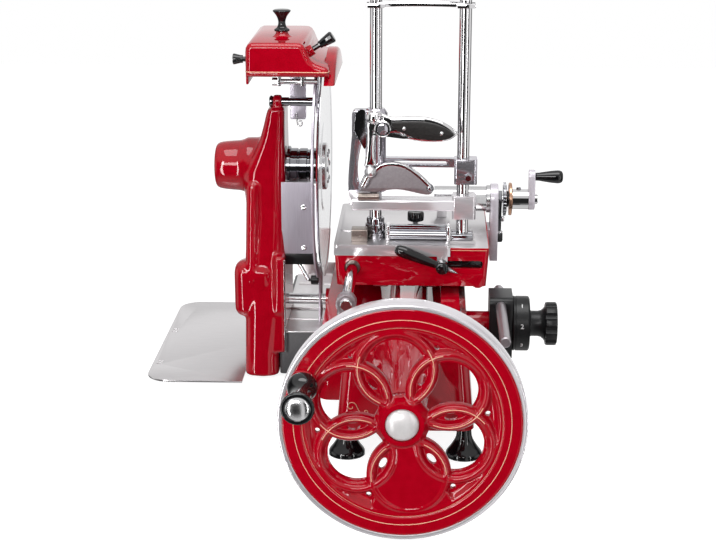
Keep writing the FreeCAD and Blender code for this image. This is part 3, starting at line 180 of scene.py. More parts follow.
def block(name, low, high, edge, steps=3):
    # a squared block between two corners, all edges eased
    deselect()
    low, high = at(*low), at(*high)
    bpy.ops.mesh.primitive_cube_add(size=1, location=(low + high) / 2, scale=high - low)
    obj = bakePlace(named(bpy.context.object, name))
    bpy.ops.object.mode_set(mode="EDIT")
    bpy.ops.mesh.select_all(action="SELECT")
    bpy.ops.mesh.bevel(offset=edge / 1000, segments=steps, affect="EDGES")
    bpy.ops.object.mode_set(mode="OBJECT")
    return smoothShade(obj, 40)


def bar(name, radius, start, end, sides=32, edge=0.6):
    # a round bar with eased ends
    start, end = Vector(start), Vector(end)
    length = (end - start).length * 1000
    rings = [(0, 0), (radius - edge, 0), (radius, edge), (radius, length - edge), (radius - edge, length),
             (0, length)]
    return turned(name, rings, start, end - start, sides)


def joined(name, *objects):
    pick(*objects)
    if len(objects) > 1:
        bpy.ops.object.join()
    return named(bpy.context.object, name)


def cast(name, objects, voxel, passes, factor=0.5):
    # forms run together and softened like a sand casting
    obj = joined(name, *objects)
    remesh = obj.modifiers.new("skin", "REMESH")
    remesh.mode, remesh.voxel_size = "VOXEL", voxel / 1000
    soften = obj.modifiers.new("soften", "SMOOTH")
    soften.factor, soften.iterations = factor, passes
    applyModifiers(obj)
    pick(obj)
    bpy.ops.object.shade_smooth()
    return obj


def cutAway(obj, *tools):
    # each tool is subtracted, then thrown away
    for tool in tools:
        cut = obj.modifiers.new("cut", "BOOLEAN")
        cut.operation, cut.object, cut.solver = "DIFFERENCE", tool, "EXACT"
        applyModifiers(obj)
        bpy.data.objects.remove(tool)
    return obj


def refined(node, finishName, edge=0.0, angle=32):
    # the frame's own shape with its facets smoothed and its corners eased
    source = frame["nodes"][node]
    obj = source.copy()
    obj.data = source.data.copy()
    for key in list(obj.keys()):
        del obj[key]
    obj.parent = None
    bpy.context.scene.collection.objects.link(obj)
    named(obj, node + "_finished")
    obj.data.materials.clear()
    pick(obj)
    if obj.data.has_custom_normals:
        bpy.ops.mesh.customdata_custom_splitnormals_clear()
    bpy.ops.object.mode_set(mode="EDIT")
    bpy.ops.mesh.select_all(action="SELECT")
    bpy.ops.mesh.remove_doubles(threshold=0.00001)
    bpy.ops.mesh.dissolve_limited(angle_limit=math.radians(0.5))
    bpy.ops.object.mode_set(mode="OBJECT")
    if edge:
        ease = obj.modifiers.new("ease", "BEVEL")
        ease.width, ease.segments, ease.limit_method = edge / 1000, 2, "ANGLE"
        ease.angle_limit = math.radians(40)
        applyModifiers(obj)
    smoothShade(obj, angle)
    return finish(obj, bodyOf[node], finishName, node)


def finish(obj, body, finishName, *nodes):
    # gives a piece its body, its finish and the nodes that it stands for
    obj.data.materials.clear()
    obj.data.materials.append(finishes[finishName])
    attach(obj, body)
    if nodes:
        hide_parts(*nodes)
    return obj


def copied(obj, name, shift):
    # the same piece again, moved by a number of millimetres, with its own mesh
    twin = obj.copy()
    twin.data = obj.data.copy()
    bpy.context.scene.collection.objects.link(twin)
    named(twin, name)
    twin.location = Vector(twin.location) + Vector(shift) / 1000
    return bakePlace(twin)


def roundWire(name, points, radius, resolution=1, closed=False, supple=False):
    # a wire of round section from point to point, or along a supple curve that they steer
    deselect()
    bpy.ops.object.add(type="CURVE")
    wire = named(bpy.context.object, name)
    wire.data.dimensions, wire.data.use_fill_caps = "3D", True
    wire.data.bevel_depth, wire.data.bevel_resolution = radius / 1000, resolution
    spline = wire.data.splines.new("NURBS" if supple else "POLY")
    spline.points.add(len(points) - 1)
    for point, place in zip(spline.points, points):
        point.co = (*at(*place), 1)
    spline.use_cyclic_u = closed
    if supple:
        spline.order_u, spline.use_endpoint_u = 4, True
    pick(wire)
    bpy.ops.object.convert(target="MESH")
    return smoothShade(named(bpy.context.object, name), 60)


def paintLine(name, points, width, body, finishName="creamLine"):
    # a hand-laid stripe, proud of the enamel by half its width
    closed = (Vector(points[0]) - Vector(points[-1])).length < 0.01
    line = points[:-1] if closed else points
    finish(roundWire(name, line, width / 2, closed=closed), body, finishName)


finishes = {}


def makeFinish(name, shades, roughness, grain, bump=0.0, metallic=0.0, coat=0.0, coatRoughness=0.03,
               specular=0.5, detail=4.0):
    # shades and roughness are the ends that the grain wanders between; grain is its pitch along x, y and z
    material = bpy.data.materials.new(name)
    material.use_nodes = True
    nodes, links = material.node_tree.nodes, material.node_tree.links
    shader = nodes["Principled BSDF"]
    shader.inputs["Metallic"].default_value = metallic
    shader.inputs["Coat Weight"].default_value = coat
    shader.inputs["Coat Roughness"].default_value = coatRoughness
    shader.inputs["Coat IOR"].default_value = 1.55
    shader.inputs["Specular IOR Level"].default_value = specular
    place = nodes.new("ShaderNodeTexCoord")
    stretch = nodes.new("ShaderNodeMapping")
    stretch.inputs["Scale"].default_value = grain
    noise = nodes.new("ShaderNodeTexNoise")
    noise.inputs["Scale"].default_value = 1.0
    noise.inputs["Detail"].default_value = detail
    ramp = nodes.new("ShaderNodeValToRGB")
    ramp.color_ramp.elements[0].position, ramp.color_ramp.elements[1].position = 0.3, 0.7
    ramp.color_ramp.elements[0].color = (*shades[0], 1)
    ramp.color_ramp.elements[1].color = (*shades[1], 1)
    spread = nodes.new("ShaderNodeMapRange")
    spread.inputs["To Min"].default_value, spread.inputs["To Max"].default_value = roughness
    links.new(place.outputs["Object"], stretch.inputs["Vector"])
    links.new(stretch.outputs["Vector"], noise.inputs["Vector"])
    links.new(noise.outputs["Fac"], ramp.inputs["Fac"])
    links.new(ramp.outputs["Color"], shader.inputs["Base Color"])
    links.new(noise.outputs["Fac"], spread.inputs["Value"])
    links.new(spread.outputs["Result"], shader.inputs["Roughness"])
    if bump:
        relief = nodes.new("ShaderNodeBump")
        relief.inputs["Strength"].default_value = bump
        relief.inputs["Distance"].default_value = 0.0002
        links.new(noise.outputs["Fac"], relief.inputs["Height"])
        links.new(relief.outputs["Normal"], shader.inputs["Normal"])
    finishes[name] = material


makeFinish("redEnamel", ((0.36, 0.0, 0.008), (0.41, 0.0005, 0.011)), (0.30, 0.36), (90, 90, 90), 0.03,
           coat=0.85, coatRoughness=0.015, specular=0.0)
makeFinish("creamLine", ((0.84, 0.47, 0.31), (0.90, 0.55, 0.38)), (0.3, 0.4), (60, 60, 60))
makeFinish("goldLine", ((0.60, 0.26, 0.17), (0.68, 0.33, 0.22)), (0.3, 0.4), (60, 60, 60))
makeFinish("chromePlate", ((0.72, 0.71, 0.72), (0.80, 0.79, 0.80)), (0.035, 0.07), (30, 30, 30), metallic=1.0)
makeFinish("shadedChrome", ((0.52, 0.50, 0.55), (0.60, 0.58, 0.63)), (0.08, 0.14), (40, 40, 40),
           metallic=0.85)
makeFinish("darkChrome", ((0.30, 0.30, 0.32), (0.38, 0.38, 0.40)), (0.06, 0.12), (40, 40, 40), metallic=1.0)
makeFinish("groundSteel", ((0.60, 0.60, 0.61), (0.70, 0.69, 0.70)), (0.16, 0.26), (2500, 120, 120), 0.10,
           metallic=1.0)
makeFinish("brushedSteel", ((0.50, 0.46, 0.53), (0.58, 0.54, 0.61)), (0.28, 0.38), (1800, 1800, 45), 0.14,
           metallic=0.55)
makeFinish("sheetSteel", ((0.66, 0.64, 0.65), (0.74, 0.72, 0.73)), (0.26, 0.36), (45, 1800, 1800), 0.10,
           metallic=1.0)
makeFinish("bladeSteel", ((0.58, 0.58, 0.60), (0.68, 0.68, 0.70)), (0.08, 0.16), (50, 900, 900), 0.05,
           metallic=1.0)
makeFinish("satinAluminium", ((0.66, 0.66, 0.67), (0.74, 0.74, 0.75)), (0.30, 0.38), (400, 400, 400), 0.08,
           metallic=1.0)
makeFinish("pearlCap", ((0.68, 0.66, 0.66), (0.74, 0.72, 0.72)), (0.30, 0.38), (300, 300, 300), 0.04,
           metallic=0.25)
makeFinish("paleSatin", ((0.64, 0.60, 0.66), (0.72, 0.68, 0.74)), (0.26, 0.34), (400, 400, 400), 0.06,
           metallic=0.35)
makeFinish("blackGloss", ((0.003, 0.003, 0.0035), (0.006, 0.006, 0.007)), (0.10, 0.16), (60, 60, 60),
           coat=0.9, specular=0.0)
makeFinish("blackGrip", ((0.012, 0.011, 0.011), (0.026, 0.024, 0.023)), (0.30, 0.42), (350, 350, 900), 0.25,
           specular=0.3)
makeFinish("blackSatin", ((0.006, 0.006, 0.0065), (0.012, 0.012, 0.013)), (0.28, 0.36), (500, 500, 500),
           0.08, specular=0.3)
makeFinish("greyIron", ((0.060, 0.060, 0.064), (0.080, 0.080, 0.085)), (0.42, 0.52), (500, 500, 500), 0.12)
makeFinish("copperEdge", ((0.52, 0.30, 0.20), (0.62, 0.38, 0.26)), (0.18, 0.26), (200, 200, 200),
           metallic=1.0)
makeFinish("bearingBronze", ((0.45, 0.28, 0.11), (0.55, 0.36, 0.16)), (0.3, 0.4), (300, 300, 300),
           metallic=1.0)
makeFinish("mirrorSteel", ((0.66, 0.64, 0.66), (0.74, 0.72, 0.74)), (0.12, 0.20), (45, 1200, 1200), 0.03,
           metallic=0.6)
makeFinish("polishedBar", ((0.72, 0.69, 0.72), (0.80, 0.77, 0.80)), (0.14, 0.20), (45, 1200, 1200), 0.04,
           metallic=0.6)
makeFinish("greySatin", ((0.36, 0.33, 0.35), (0.42, 0.39, 0.41)), (0.30, 0.38), (400, 400, 400), 0.06,
           metallic=0.85)
makeFinish("bronzedSteel", ((0.24, 0.20, 0.18), (0.34, 0.29, 0.26)), (0.26, 0.36), (500, 120, 500), 0.10,
           metallic=0.9)
makeFinish("whiteFigure", ((0.75, 0.75, 0.75), (0.82, 0.82, 0.82)), (0.4, 0.5), (300, 300, 300))
print("finishes made:", len(finishes))


flywheel = {"radius": 134.5, "rimRadius": 140.0, "width": 26.0, "height": 146.8, "webFront": 9.0,
            "webBack": 15.0, "petals": 6, "firstSpoke": 7.0, "petalPlace": 63.9, "crest": 42.5,
            "opening": 33.1, "ribHalf": 6.4, "ribTop": 2.0, "plainPetal": 4, "hub": 27.0, "cap": 19.0,
            "eye": (7.6, 3.9), "eyePlace": 55.0, "boltPlace": 96.2, "boltHole": 3.0, "sides": 480}
crank = {"radius": 120.0, "angle": 156.4, "gap": 7.0, "length": 76.0}


def wheelPoint(radius, degrees, y=0.0):
    angle = math.radians(degrees)
    return Vector((radius * math.cos(angle), y, flywheel["height"] + radius * math.sin(angle)))


def spokeAngle(i):
    return flywheel["firstSpoke"] + 360 / flywheel["petals"] * i


def petalCentre(i):
    return wheelPoint(flywheel["petalPlace"], spokeAngle(i + 0.5))


def easedMin(a, b, reach):
    # the smaller of two depths, with a fillet of the given reach where they meet
    blend = np.clip(0.5 + 0.5 * (b - a) / reach, 0, 1)
    return b * (1 - blend) + a * blend - reach * blend * (1 - blend)


def wheelDepth(x, z):
    # how far the casting's face lies behind the rim's front, all over the wheel
    w = flywheel
    z = z - w["height"]
    r = np.hypot(x, z)
    depth = np.full_like(r, w["webFront"])
    for i in range(w["petals"]):
        centre = petalCentre(i)
        away = np.abs(np.hypot(x - centre.x, z - centre.z + w["height"]) - w["crest"])
        rib = w["ribTop"] + (w["webFront"] - w["ribTop"] + 3) * (away / (w["ribHalf"] + 1.0)) ** 2.2
        depth = easedMin(depth, np.minimum(rib, 30), 1.6)
    middle = math.radians(spokeAngle(w["plainPetal"] + 0.5))
    turn = np.abs((np.arctan2(z, x) - middle + math.pi) % (2 * math.pi) - math.pi)
    centre = petalCentre(w["plainPetal"])
    inDisc = w["crest"] + 1 - np.hypot(x - centre.x, z - centre.z + w["height"])
    inWedge = (math.radians(25) - turn) * r
    inside = np.maximum(inDisc, np.where(r > 40, inWedge, -9))
    for i in (w["plainPetal"] - 1, w["plainPetal"] + 1):
        beside = petalCentre(i)
        inside = np.minimum(inside, np.hypot(x - beside.x, z - beside.z + w["height"]) - w["crest"] + 1.5)
    depth = easedMin(depth, 3.4 + np.clip(-inside, 0, 10) * 2.2, 1.4)
    slope = 2.4 + np.clip(109.5 - r, 0, 30) * 0.85
    depth = easedMin(depth, slope, 2.0)
    land = 0.9 + np.clip(113.8 - r, 0, 30) * 3.0
    depth = easedMin(depth, land, 0.5)
    hub = -3.0 + np.clip(r - 24.5, 0, 30) * 1.5
    depth = easedMin(depth, hub, 2.0)
    depth = np.where(r < w["cap"] + 0.6, 0.0, depth)
    edge = np.clip(r - (w["radius"] - 1.2), 0, 2)
    return depth + edge * 0.6


def makeWheel():
    w = flywheel
    radii = [w["cap"] + 0.4, w["cap"] + 0.7] + list(np.linspace(21, w["radius"], 98))
    rings = [(11.0, 0.0), (radii[0], 0.0)] + [(radius, 0.0) for radius in radii[1:]]
    rings += [(w["radius"], w["width"] - 0.8), (114, w["width"] - 0.8), (109, w["webBack"]),
              (31, w["webBack"]), (w["hub"], 17), (23, 40), (11.0, 40), (11.0, 0.0)]
    obj = turned("flywheelCasting", rings, at(0, 0, w["height"]), (0, 1, 0), w["sides"], 40)
    count = len(obj.data.vertices)
    flat = np.empty(count * 3)
    obj.data.vertices.foreach_get("co", flat)
    points = flat.reshape(-1, 3) * 1000 - np.array(drawingZero) * 1000
    front = points[:, 1] < 0.01
    radius = np.hypot(points[:, 0], points[:, 2] - w["height"])
    front &= radius > 11.5
    points[front, 1] = wheelDepth(points[front, 0], points[front, 2])
    obj.data.vertices.foreach_set("co", ((points + np.array(drawingZero) * 1000) / 1000).ravel())
    obj.data.update()
    holes = []
    for i in range(w["petals"]):
        if i == w["plainPetal"]:
            continue
        centre = petalCentre(i)
        hole = cylinder("hole", w["opening"], 50, at(centre.x, -8, centre.z), (0, 1, 0), 96)
        for beside in (i - 1, i + 1):
            other = petalCentre(beside % w["petals"])
            cutAway(hole, cylinder("rib", w["crest"] + 5.5, 60, at(other.x, -12, other.z), (0, 1, 0), 128))
        holes.append(hole)
    for i in range(w["petals"]):
        angle = spokeAngle(i)
        spot = wheelPoint(w["eyePlace"], angle)
        along, across = w["eye"]
        eye = cylinder("eye", 1, 50, at(0, 0, 0), (0, 1, 0), 40)
        eye.matrix_world = (Matrix.Translation(at(spot.x, -8,
                                                  spot.z)) @ Matrix.Rotation(-math.radians(angle), 4, "Y")
                            @ Matrix.Diagonal((along, 1, across, 1)) @ Matrix.Translation(-at(0, 0, 0)))
        bakePlace(eye)
        spot = wheelPoint(w["boltPlace"], angle)
        bolt = cylinder("bolt", w["boltHole"], 50, at(spot.x, -8, spot.z), (0, 1, 0), 24)
        holes += [eye, bolt]
    cutAway(obj, *holes)
    spot = wheelPoint(crank["radius"], crank["angle"])
    boss = turned("crankBoss", [(0, 0), (13, 0), (14.5, 1.2), (15.5, 8), (15.5, 20), (0, 20)],
                  at(spot.x, -3, spot.z), (0, 1, 0), 64)
    obj = joined("flywheelCasting", obj, boss)
    smoothShade(obj, 40)
    finish(obj, "flywheel", "redEnamel", "flywheel_casting")
    outer, back = w["rimRadius"], w["width"]
    rim = turned("flywheelRim", [(134.6, 0.4), (135.2, -0.3), (outer - 1.4, -0.3), (outer - 0.4, 0.3),
                                 (outer, 1.2), (outer, back - 1.2), (outer - 0.8, back - 0.2), (135, back),
                                 (134.6, back - 0.6), (134.6, 0.4)], at(0, 0, w["height"]), (0, 1, 0), 256)
    finish(rim, "flywheel", "polishedBar", "flywheel_rim")
    dome = [(0, -2), (18.9, -2), (19.0, 0.6), (18.4, 2.2), (16, 4.2), (12, 6.4), (7, 8.0), (3, 8.5), (0, 8.6)]
    cap = turned("hubCap", dome, at(0, 0, w["height"]), (0, -1, 0), 96)
    finish(cap, "flywheel", "pearlCap", "flywheel_cap")


def wheelLine(name, centre, radius, start, end, finishName="creamLine", width=1.1):
    points = []
    for k in range(97):
        angle = math.radians(start + (end - start) * k / 96)
        x, z = centre[0] + radius * math.cos(angle), centre[1] + radius * math.sin(angle)
        depth = float(wheelDepth(np.array([x]), np.array([z]))[0])
        points.append((x, depth + 0.1, z))
    paintLine(name, points, width, "flywheel", finishName)


def makeWheelLines():
    w = flywheel
    wheelLine("rimStripe", (0, w["height"]), 122.0, 0, 360, "creamLine", 1.0)
    wheelLine("innerStripe", (0, w["height"]), 112.4, 0, 360, "goldLine", 0.7)
    for i in range(w["petals"]):
        centre = petalCentre(i)
        outward = spokeAngle(i + 0.5)
        for side in (-1, 1):
            neighbour = (i + side) % w["petals"]
            if i != w["plainPetal"] and neighbour == w["plainPetal"]:
                continue
            # each stripe runs from near the hub past the crossing with the next rib
            wheelLine(f"ribStripe{i}{'ab'[side > 0]}", (centre.x, centre.z), w["crest"],
                      outward + side * 150, outward + side * (62 if i != w["plainPetal"] else 88))


makeWheel()
makeWheelLines()
print("flywheel made")


def makeCrank():
    spot = wheelPoint(crank["radius"], crank["angle"])
    front, end = -crank["gap"], crank["length"]
    rings = curveThrough([(13.5, 0), (16.6, 5), (17.2, 9), (15.6, 16), (11.6, 25), (9.8, 33), (9.6, 42),
                          (10.6, 52), (13.6, 62), (17.2, 69), (18.4, 72.5), (17.6, end - 0.6), (14.6, end)],
                         5)
    grip = turned("crankGrip", [(0, 0), (12, 0)] + rings + [(13.6, end - 0.8), (0, end - 1.2)],
                  at(spot.x, front, spot.z), (0, -1, 0), 96, 50)
    finish(grip, "crank_grip", "blackGloss", "crank_grip")
    button = turned("gripButton", [(0, 74), (13.4, 74), (13.4, 75.4), (12.2, 76.8), (8, 78.3), (4, 79),
                                   (0, 79.2)],
                    at(spot.x, front, spot.z), (0, -1, 0), 72, 40)
    finish(button, "crank_grip", "groundSteel")
    spindle = turned("crankSpindle", [(0, -24), (5, -24), (5, 0), (8, 0.4), (8, 6.3), (5, 6.6), (5, 20),
                                      (0, 20)],
                     at(spot.x, 0, spot.z), (0, -1, 0), 48)
    finish(spindle, "flywheel", "chromePlate", "crank_spindle")


makeCrank()
refined("main_shaft", "groundSteel")

# the casting's levels: height, left, right, front, back
standard = {"skin": 1.9, "softness": 20,
            "levels": ((5, -239.5, -189, 538, 686), (41, -238.5, -189, 538, 686),
                       (104, -237.5, -180, 538.5, 685.5), (130, -237, -179.5, 541, 683),
                       (160, -236.5, -179.5, 545, 679), (188, -235.8, -179.5, 549, 674),
                       (226, -234.3, -179.5, 556, 668), (250, -235, -179.5, 560, 664),
                       (275, -238, -179.5, 562, 662), (304, -236, -179.5, 564, 660),
                       (325, -226, -179.5, 565, 657), (339, -219, -179.5, 566, 654),
                       (353, -214, -179.3, 565, 650), (370, -209, -179, 562, 642),
                       (386, -205, -178.5, 560, 634), (396, -202, -178.5, 560, 632)),
            "barrel": ((0, -283), (26, -283), (31, -281.2), (33.5, -277), (35, -268), (36, -256),
                       (36.4, -248), (38, -241), (41, -237), (41, -214), (0, -214)),
            "boss": ((542, 102), (541, 160), (547, 172), (560, 176), (585, 172), (615, 162), (655, 140),
                     (680, 118), (681, 96), (550, 93)),
            "rib": ((-225, 568, 292), (-227, 549, 148), 9.5)}
deflector = {"x": (-184, -136), "y": 560.0, "z": (186, 291), "thickness": 3.0, "screwX": -152.0,
             "screwZ": (195, 255)}
blade = {"x": -123.0, "y": 612.0, "z": 304.0, "radius": 160.0, "bearing": 26.0, "screwRing": 22.0}
stay = {"y": 573.0, "z": 405.0, "radius": 6.2, "room": 6.8}


def drawnColumn(name, levels, corner):
    # a rounded rectangle pulled up from level to level
    z, x0, x1, y0, y1 = levels[0]
    deselect()
    middle = at((x0 + x1) / 2, (y0 + y1) / 2, z)
    bpy.ops.mesh.primitive_plane_add(size=0.001, location=middle)
    obj = bakePlace(named(bpy.context.object, name))
    bpy.ops.object.mode_set(mode="EDIT")
    bpy.ops.mesh.select_all(action="SELECT")
    bpy.ops.transform.resize(value=(x1 - x0, y1 - y0, 1), center_override=middle)
    bpy.ops.mesh.bevel(offset=corner / 1000, segments=6, affect="VERTICES")
    for nextZ, a0, a1, b0, b1 in levels[1:]:
        move = ((a0 + a1 - x0 - x1) / 2000, (b0 + b1 - y0 - y1) / 2000, (nextZ - z) / 1000)
        bpy.ops.mesh.extrude_region_move(TRANSFORM_OT_translate={"value": move})
        bpy.ops.transform.resize(value=((a1 - a0) / (x1 - x0), (b1 - b0) / (y1 - y0), 1),
                                 center_override=at((a0 + a1) / 2, (b0 + b1) / 2, nextZ))
        z, x0, x1, y0, y1 = nextZ, a0, a1, b0, b1
    bpy.ops.object.mode_set(mode="OBJECT")
    return tidyMesh(obj, 0.01)


def makeStandard():
    s = standard
    column = drawnColumn("bladeStandard", s["levels"], 17)
    axis = at(0, blade["y"], blade["z"])
    barrel = turned("barrel", s["barrel"], axis, (1, 0, 0), 96)
    boss = profilePlate("boss", [list(s["boss"])], -224, 58, 14, plane="YZ")
    start, end, radius = s["rib"]
    rib = turned("rib", curveThrough([(0, -8), (6.4, -5.6), (radius, 0)], 4) + [(radius, 140), (0, 143)],
                 at(*end), at(*start) - at(*end), 32)
    ledge = block("ledge", (-194, 536.8, 101), (-178.6, 684, 187), 2.5)
    strip = block("strip", (-222, 540, 41), (-178.6, 684, 110), 3)
    lug = cylinder("lug", 10, 13, at(-195, stay["y"], stay["z"]), (1, 0, 0))
    neck = block("neck", (-195, stay["y"] - 8, 392), (-182, stay["y"] + 8, stay["z"]), 1)
    pad = cylinder("pad", 21, 8, at(-214, 572, 0))
    body = cast("bladeStandard", [column, barrel, boss, rib, ledge, strip, lug, neck, pad], s["skin"],
                s["softness"])
    # room for the chain and the shafts
    room = profilePlate("room", [[(566, 108), (572, 190), (584, 326), (640, 326), (652, 190), (658, 108)]],
                        -206, 26, 1, plane="YZ")
    bore = cylinder("bore", 10.6, 100, at(-272, blade["y"], blade["z"]), (1, 0, 0))
    stayBore = cylinder("stayBore", stay["room"], 60, at(-215, stay["y"], stay["z"]), (1, 0, 0))
    cutAway(body, room, bore, stayBore)
    smoothShade(body, 40)
    finish(body, "frame", "redEnamel", "blade_standard")
    # bright strip along the step on the blade's side
    strip = block("standardStrip", (-180.2, 537.2, 44), (-177.6, 539.6, 182), 0.5)
    finish(strip, "frame", "chromePlate")


def makeBearing():
    r = blade["bearing"]
    rings = [(9, 0), (r - 6, 0), (r - 6, 2)]
    grooves = [(r + 3, 2), (r + 3, 6), (r, 7), (r, 16), (r - 1.2, 17), (r - 1.2, 19), (r, 20), (r, 30),
               (r - 2, 31), (r - 2, 34), (r, 35), (r, 43), (r - 3, 45), (9, 45)]
    bearing = turned("bladeBearing", rings + grooves, at(-180, blade["y"], blade["z"]), (1, 0, 0), 128, 30)
    finish(bearing, "frame", "darkChrome", "blade_bearing")


def makeDeflector():
    d = deflector
    (x0, x1), (z0, z1), y = d["x"], d["z"], d["y"]
    c = 5
    outline = [(x0, z0), (x1 - c, z0), (x1, z0 + c), (x1, z1 - c), (x1 - c, z1), (x0, z1)]
    plate = profilePlate("deflectorPlate", [outline], y + d["thickness"] / 2, d["thickness"], 0.4)
    finish(plate, "frame", "brushedSteel", "slice_deflector")
    for k, z in enumerate(d["screwZ"]):
        screw = turned(f"deflectorScrew{k + 1}", [(0, -2), (2.2, -2), (3.6, -1.6), (4.2, -0.6), (4.2, 0.4),
                                                  (0, 0.4)],
                       at(d["screwX"], y, z), (0, 1, 0), 32)
        slot = block("slot", (d["screwX"] - 5, y - 3, z - 0.45), (d["screwX"] + 5, y - 1.3, z + 0.45), 0.05,
                     1)
        cutAway(screw, slot)
        finish(screw, "frame", "chromePlate")
    knob = turned("deflectorKnob", curveThrough([(2.2, 0), (2.2, 3), (6.2, 4), (6.6, 6), (6.6, 13),
                                                 (5.8, 14.5), (0.4, 15)], 3),
                  at(-146, 560, 147), (1, 0, 0), 48)
    finish(knob, "frame", "blackSatin")
    stud = bar("deflectorStud", 2.6, at(-146, 560, 147), at(-160, 566, 170), 24)
    finish(stud, "frame", "groundSteel")


def makeBlade():
    r = blade["radius"]
    rings = [(10, -10), (58, -10), (66, -6.6), (r - 14, -4.7), (r - 1.0, -0.9), (r, -0.45), (r, -0.05),
             (r - 5, -0.3), (r - 12, -0.9), (r - 13, -1.2), (72, -3), (66, -3.1), (62, -2.2), (10, -2.2),
             (10, -10)]
    disc = turned("slicingBlade", rings, at(blade["x"], blade["y"], blade["z"]), (1, 0, 0), 256, 12)
    finish(disc, "blade", "bladeSteel", "slicing_blade")
    hub = turned("bladeHub", [(0, -2.2), (34, -2.2), (34, 0.4), (33, 1.6), (30.5, 2.5), (13, 3.5), (12, 2.6),
                              (6, 2.4), (5, 3.4), (0, 3.5)], at(blade["x"], blade["y"], blade["z"]),
                 (1, 0, 0), 128, 25)
    finish(hub, "blade", "groundSteel", "blade_hub")
    for k in range(6):
        angle = math.pi / 3 * k
        ring = blade["screwRing"]
        place = (blade["x"], blade["y"] + ring * math.cos(angle), blade["z"] + ring * math.sin(angle))
        screw = turned(f"bladeScrew{k + 1}", [(0, 2.6), (3.9, 2.6), (3.9, 3.6), (3.0, 4.6), (1.6, 5),
                                              (0, 5)], at(*place),
                       (1, 0, 0), 24)
        finish(screw, "blade", "darkChrome")


def makeStay():
    r = stay["radius"]
    rings = [(0, -200), (6.5, -200), (8.3, -198.5), (8.5, -196.5), (7.6, -195), (r, -194.4), (r, -172.4),
             (r - 1, -171.8), (r - 1, -170.6), (r, -170), (r, -131), (r - 0.8, -130), (0, -130)]
    rod = turned("stayRod", rings, at(0, stay["y"], stay["z"]), (1, 0, 0), 64, 30)
    finish(rod, "frame", "darkChrome", "stay_rod")
    # a spring clip hangs below the post
    line = [(-162, 574, 388), (-162, 574, 374), (-158, 574, 368), (-153, 574, 372), (-155, 574, 379),
            (-159, 574, 377)]
    finish(roundWire("postClip", line, 1.1, 4, supple=True), "frame", "groundSteel")


makeStandard()
makeBearing()
makeDeflector()
makeBlade()
makeStay()
refined("blade_guard", "brushedSteel", 0.4)
refined("sharpener_post", "brushedSteel", 0.8)
refined("deflector_bar", "blackSatin", 0.6)
refined("blade_shaft", "groundSteel")
refined("cross_shaft", "groundSteel", 0.5)
refined("drive_chain", "darkChrome")
print("standard made")


cover = {"left": -226.0, "right": -112.0, "front": 505.0, "back": 690.0, "line": 457.5, "corner": 7.0,
         "wall": 3.5, "lip": 439.0, "cheek": (172.0, -119.0, -104.0), "knob": (-181.0, 573.0, 497.0),
         "hone": (-137.0, 535.0, 484.0), "slope": 32.5}
coverOutline = [(-226, 450), (-226, 484), (-225.4, 489.5), (-222.6, 494.4), (-217.5, 496.8), (-211, 497),
                (-158, 497), (-151, 496.4), (-146.4, 493.4), (-143.2, 488), (-139.6, 478.6), (-136, 472.6),
                (-130.6, 468.4), (-122, 465.4), (-116, 463.6), (-112.8, 460.4), (-112, 456), (-112, 450)]


def honingAxis():
    slope = math.radians(cover["slope"])
    return Vector((math.cos(slope), 0, math.sin(slope)))


def makeCover():
    c, left, right, front, back, wall, lip = (cover[k] for k in ("corner", "left", "right", "front", "back",
                                                                 "wall", "lip"))
    middle, depth = (front + back) / 2, back - front
    body = profilePlate("sharpenerCover", [coverOutline], middle, depth, c, angle=35)
    inner = [(a + wall * (1 if a < -180 else -1), z - wall * (z > 451)) for a, z in coverOutline]
    hollow = profilePlate("hollow", [inner], middle, depth - 2 * wall, c - wall, angle=35)
    cutAway(body, hollow)
    # two louvres in the sloping side
    for k in range(2):
        x = -147 + 5 * k
        cutAway(body, block("louvre", (x - 0.9, 520, 470), (x + 0.9, 545, 510), 0.5))
    finish(smoothShade(body, 35), "sharpener", "redEnamel", "sharpener_cover")
    leftLip = block("coverLip", (left, front + 8, lip), (left + wall, back - 8, 452), 1.2)
    finish(leftLip, "sharpener", "redEnamel", "sharpener_cover")
    r, x0, x1 = cover["cheek"]
    axis = at(0, blade["y"], blade["z"])
    rings = [(0, x0), (r, x0), (r, x1 - 5), (r - 0.7, x1 - 2.5), (r - 2.5, x1 - 0.7), (r - 5, x1), (0, x1)]
    cheek = turned("coverCheek", rings, axis, (1, 0, 0), 256, 35)
    inside = turned("inside", [(0, x0 - 9), (r - wall, x0 - 9), (r - wall, x1 - wall), (0, x1 - wall)], axis,
                    (1, 0, 0), 256)
    below = block("below", (x0 - 20, 300, 50), (x1 + 20, 900, lip), 0.01, 1)
    cutAway(cheek, inside, below)
    finish(smoothShade(cheek, 35), "sharpener", "redEnamel", "sharpener_cover")
    seat = turned("knobSeat", curveThrough([(16.5, -0.6), (13.5, 0.4), (10.6, 2.4), (8.8, 5), (8.2, 7.4)],
                                           4) + [(0, 7.5)],
                  at(*cover["knob"]), (0, 0, 1), 96, 50)
    finish(seat, "sharpener", "redEnamel", "sharpener_cover")
    hone = turned("honingSeat", [(0, -12), (7.5, -12), (7.5, 1.6), (6.6, 2.6), (0, 2.6)], at(*cover["hone"]),
                  honingAxis(), 48, 35)
    finish(hone, "sharpener", "redEnamel", "sharpener_cover")
    line = [(left, back - c - 1, cover["line"])]
    for centre, start in (((left + c, front + c), 180), ((right - c, front + c), 270)):
        for k in range(13):
            angle = math.radians(start + 7.5 * k)
            line.append((centre[0] + c * math.cos(angle), centre[1] + c * math.sin(angle), cover["line"]))
    line.append((right, front + 2 * c, cover["line"]))
    paintLine("coverLine", line, 1.3, "sharpener")


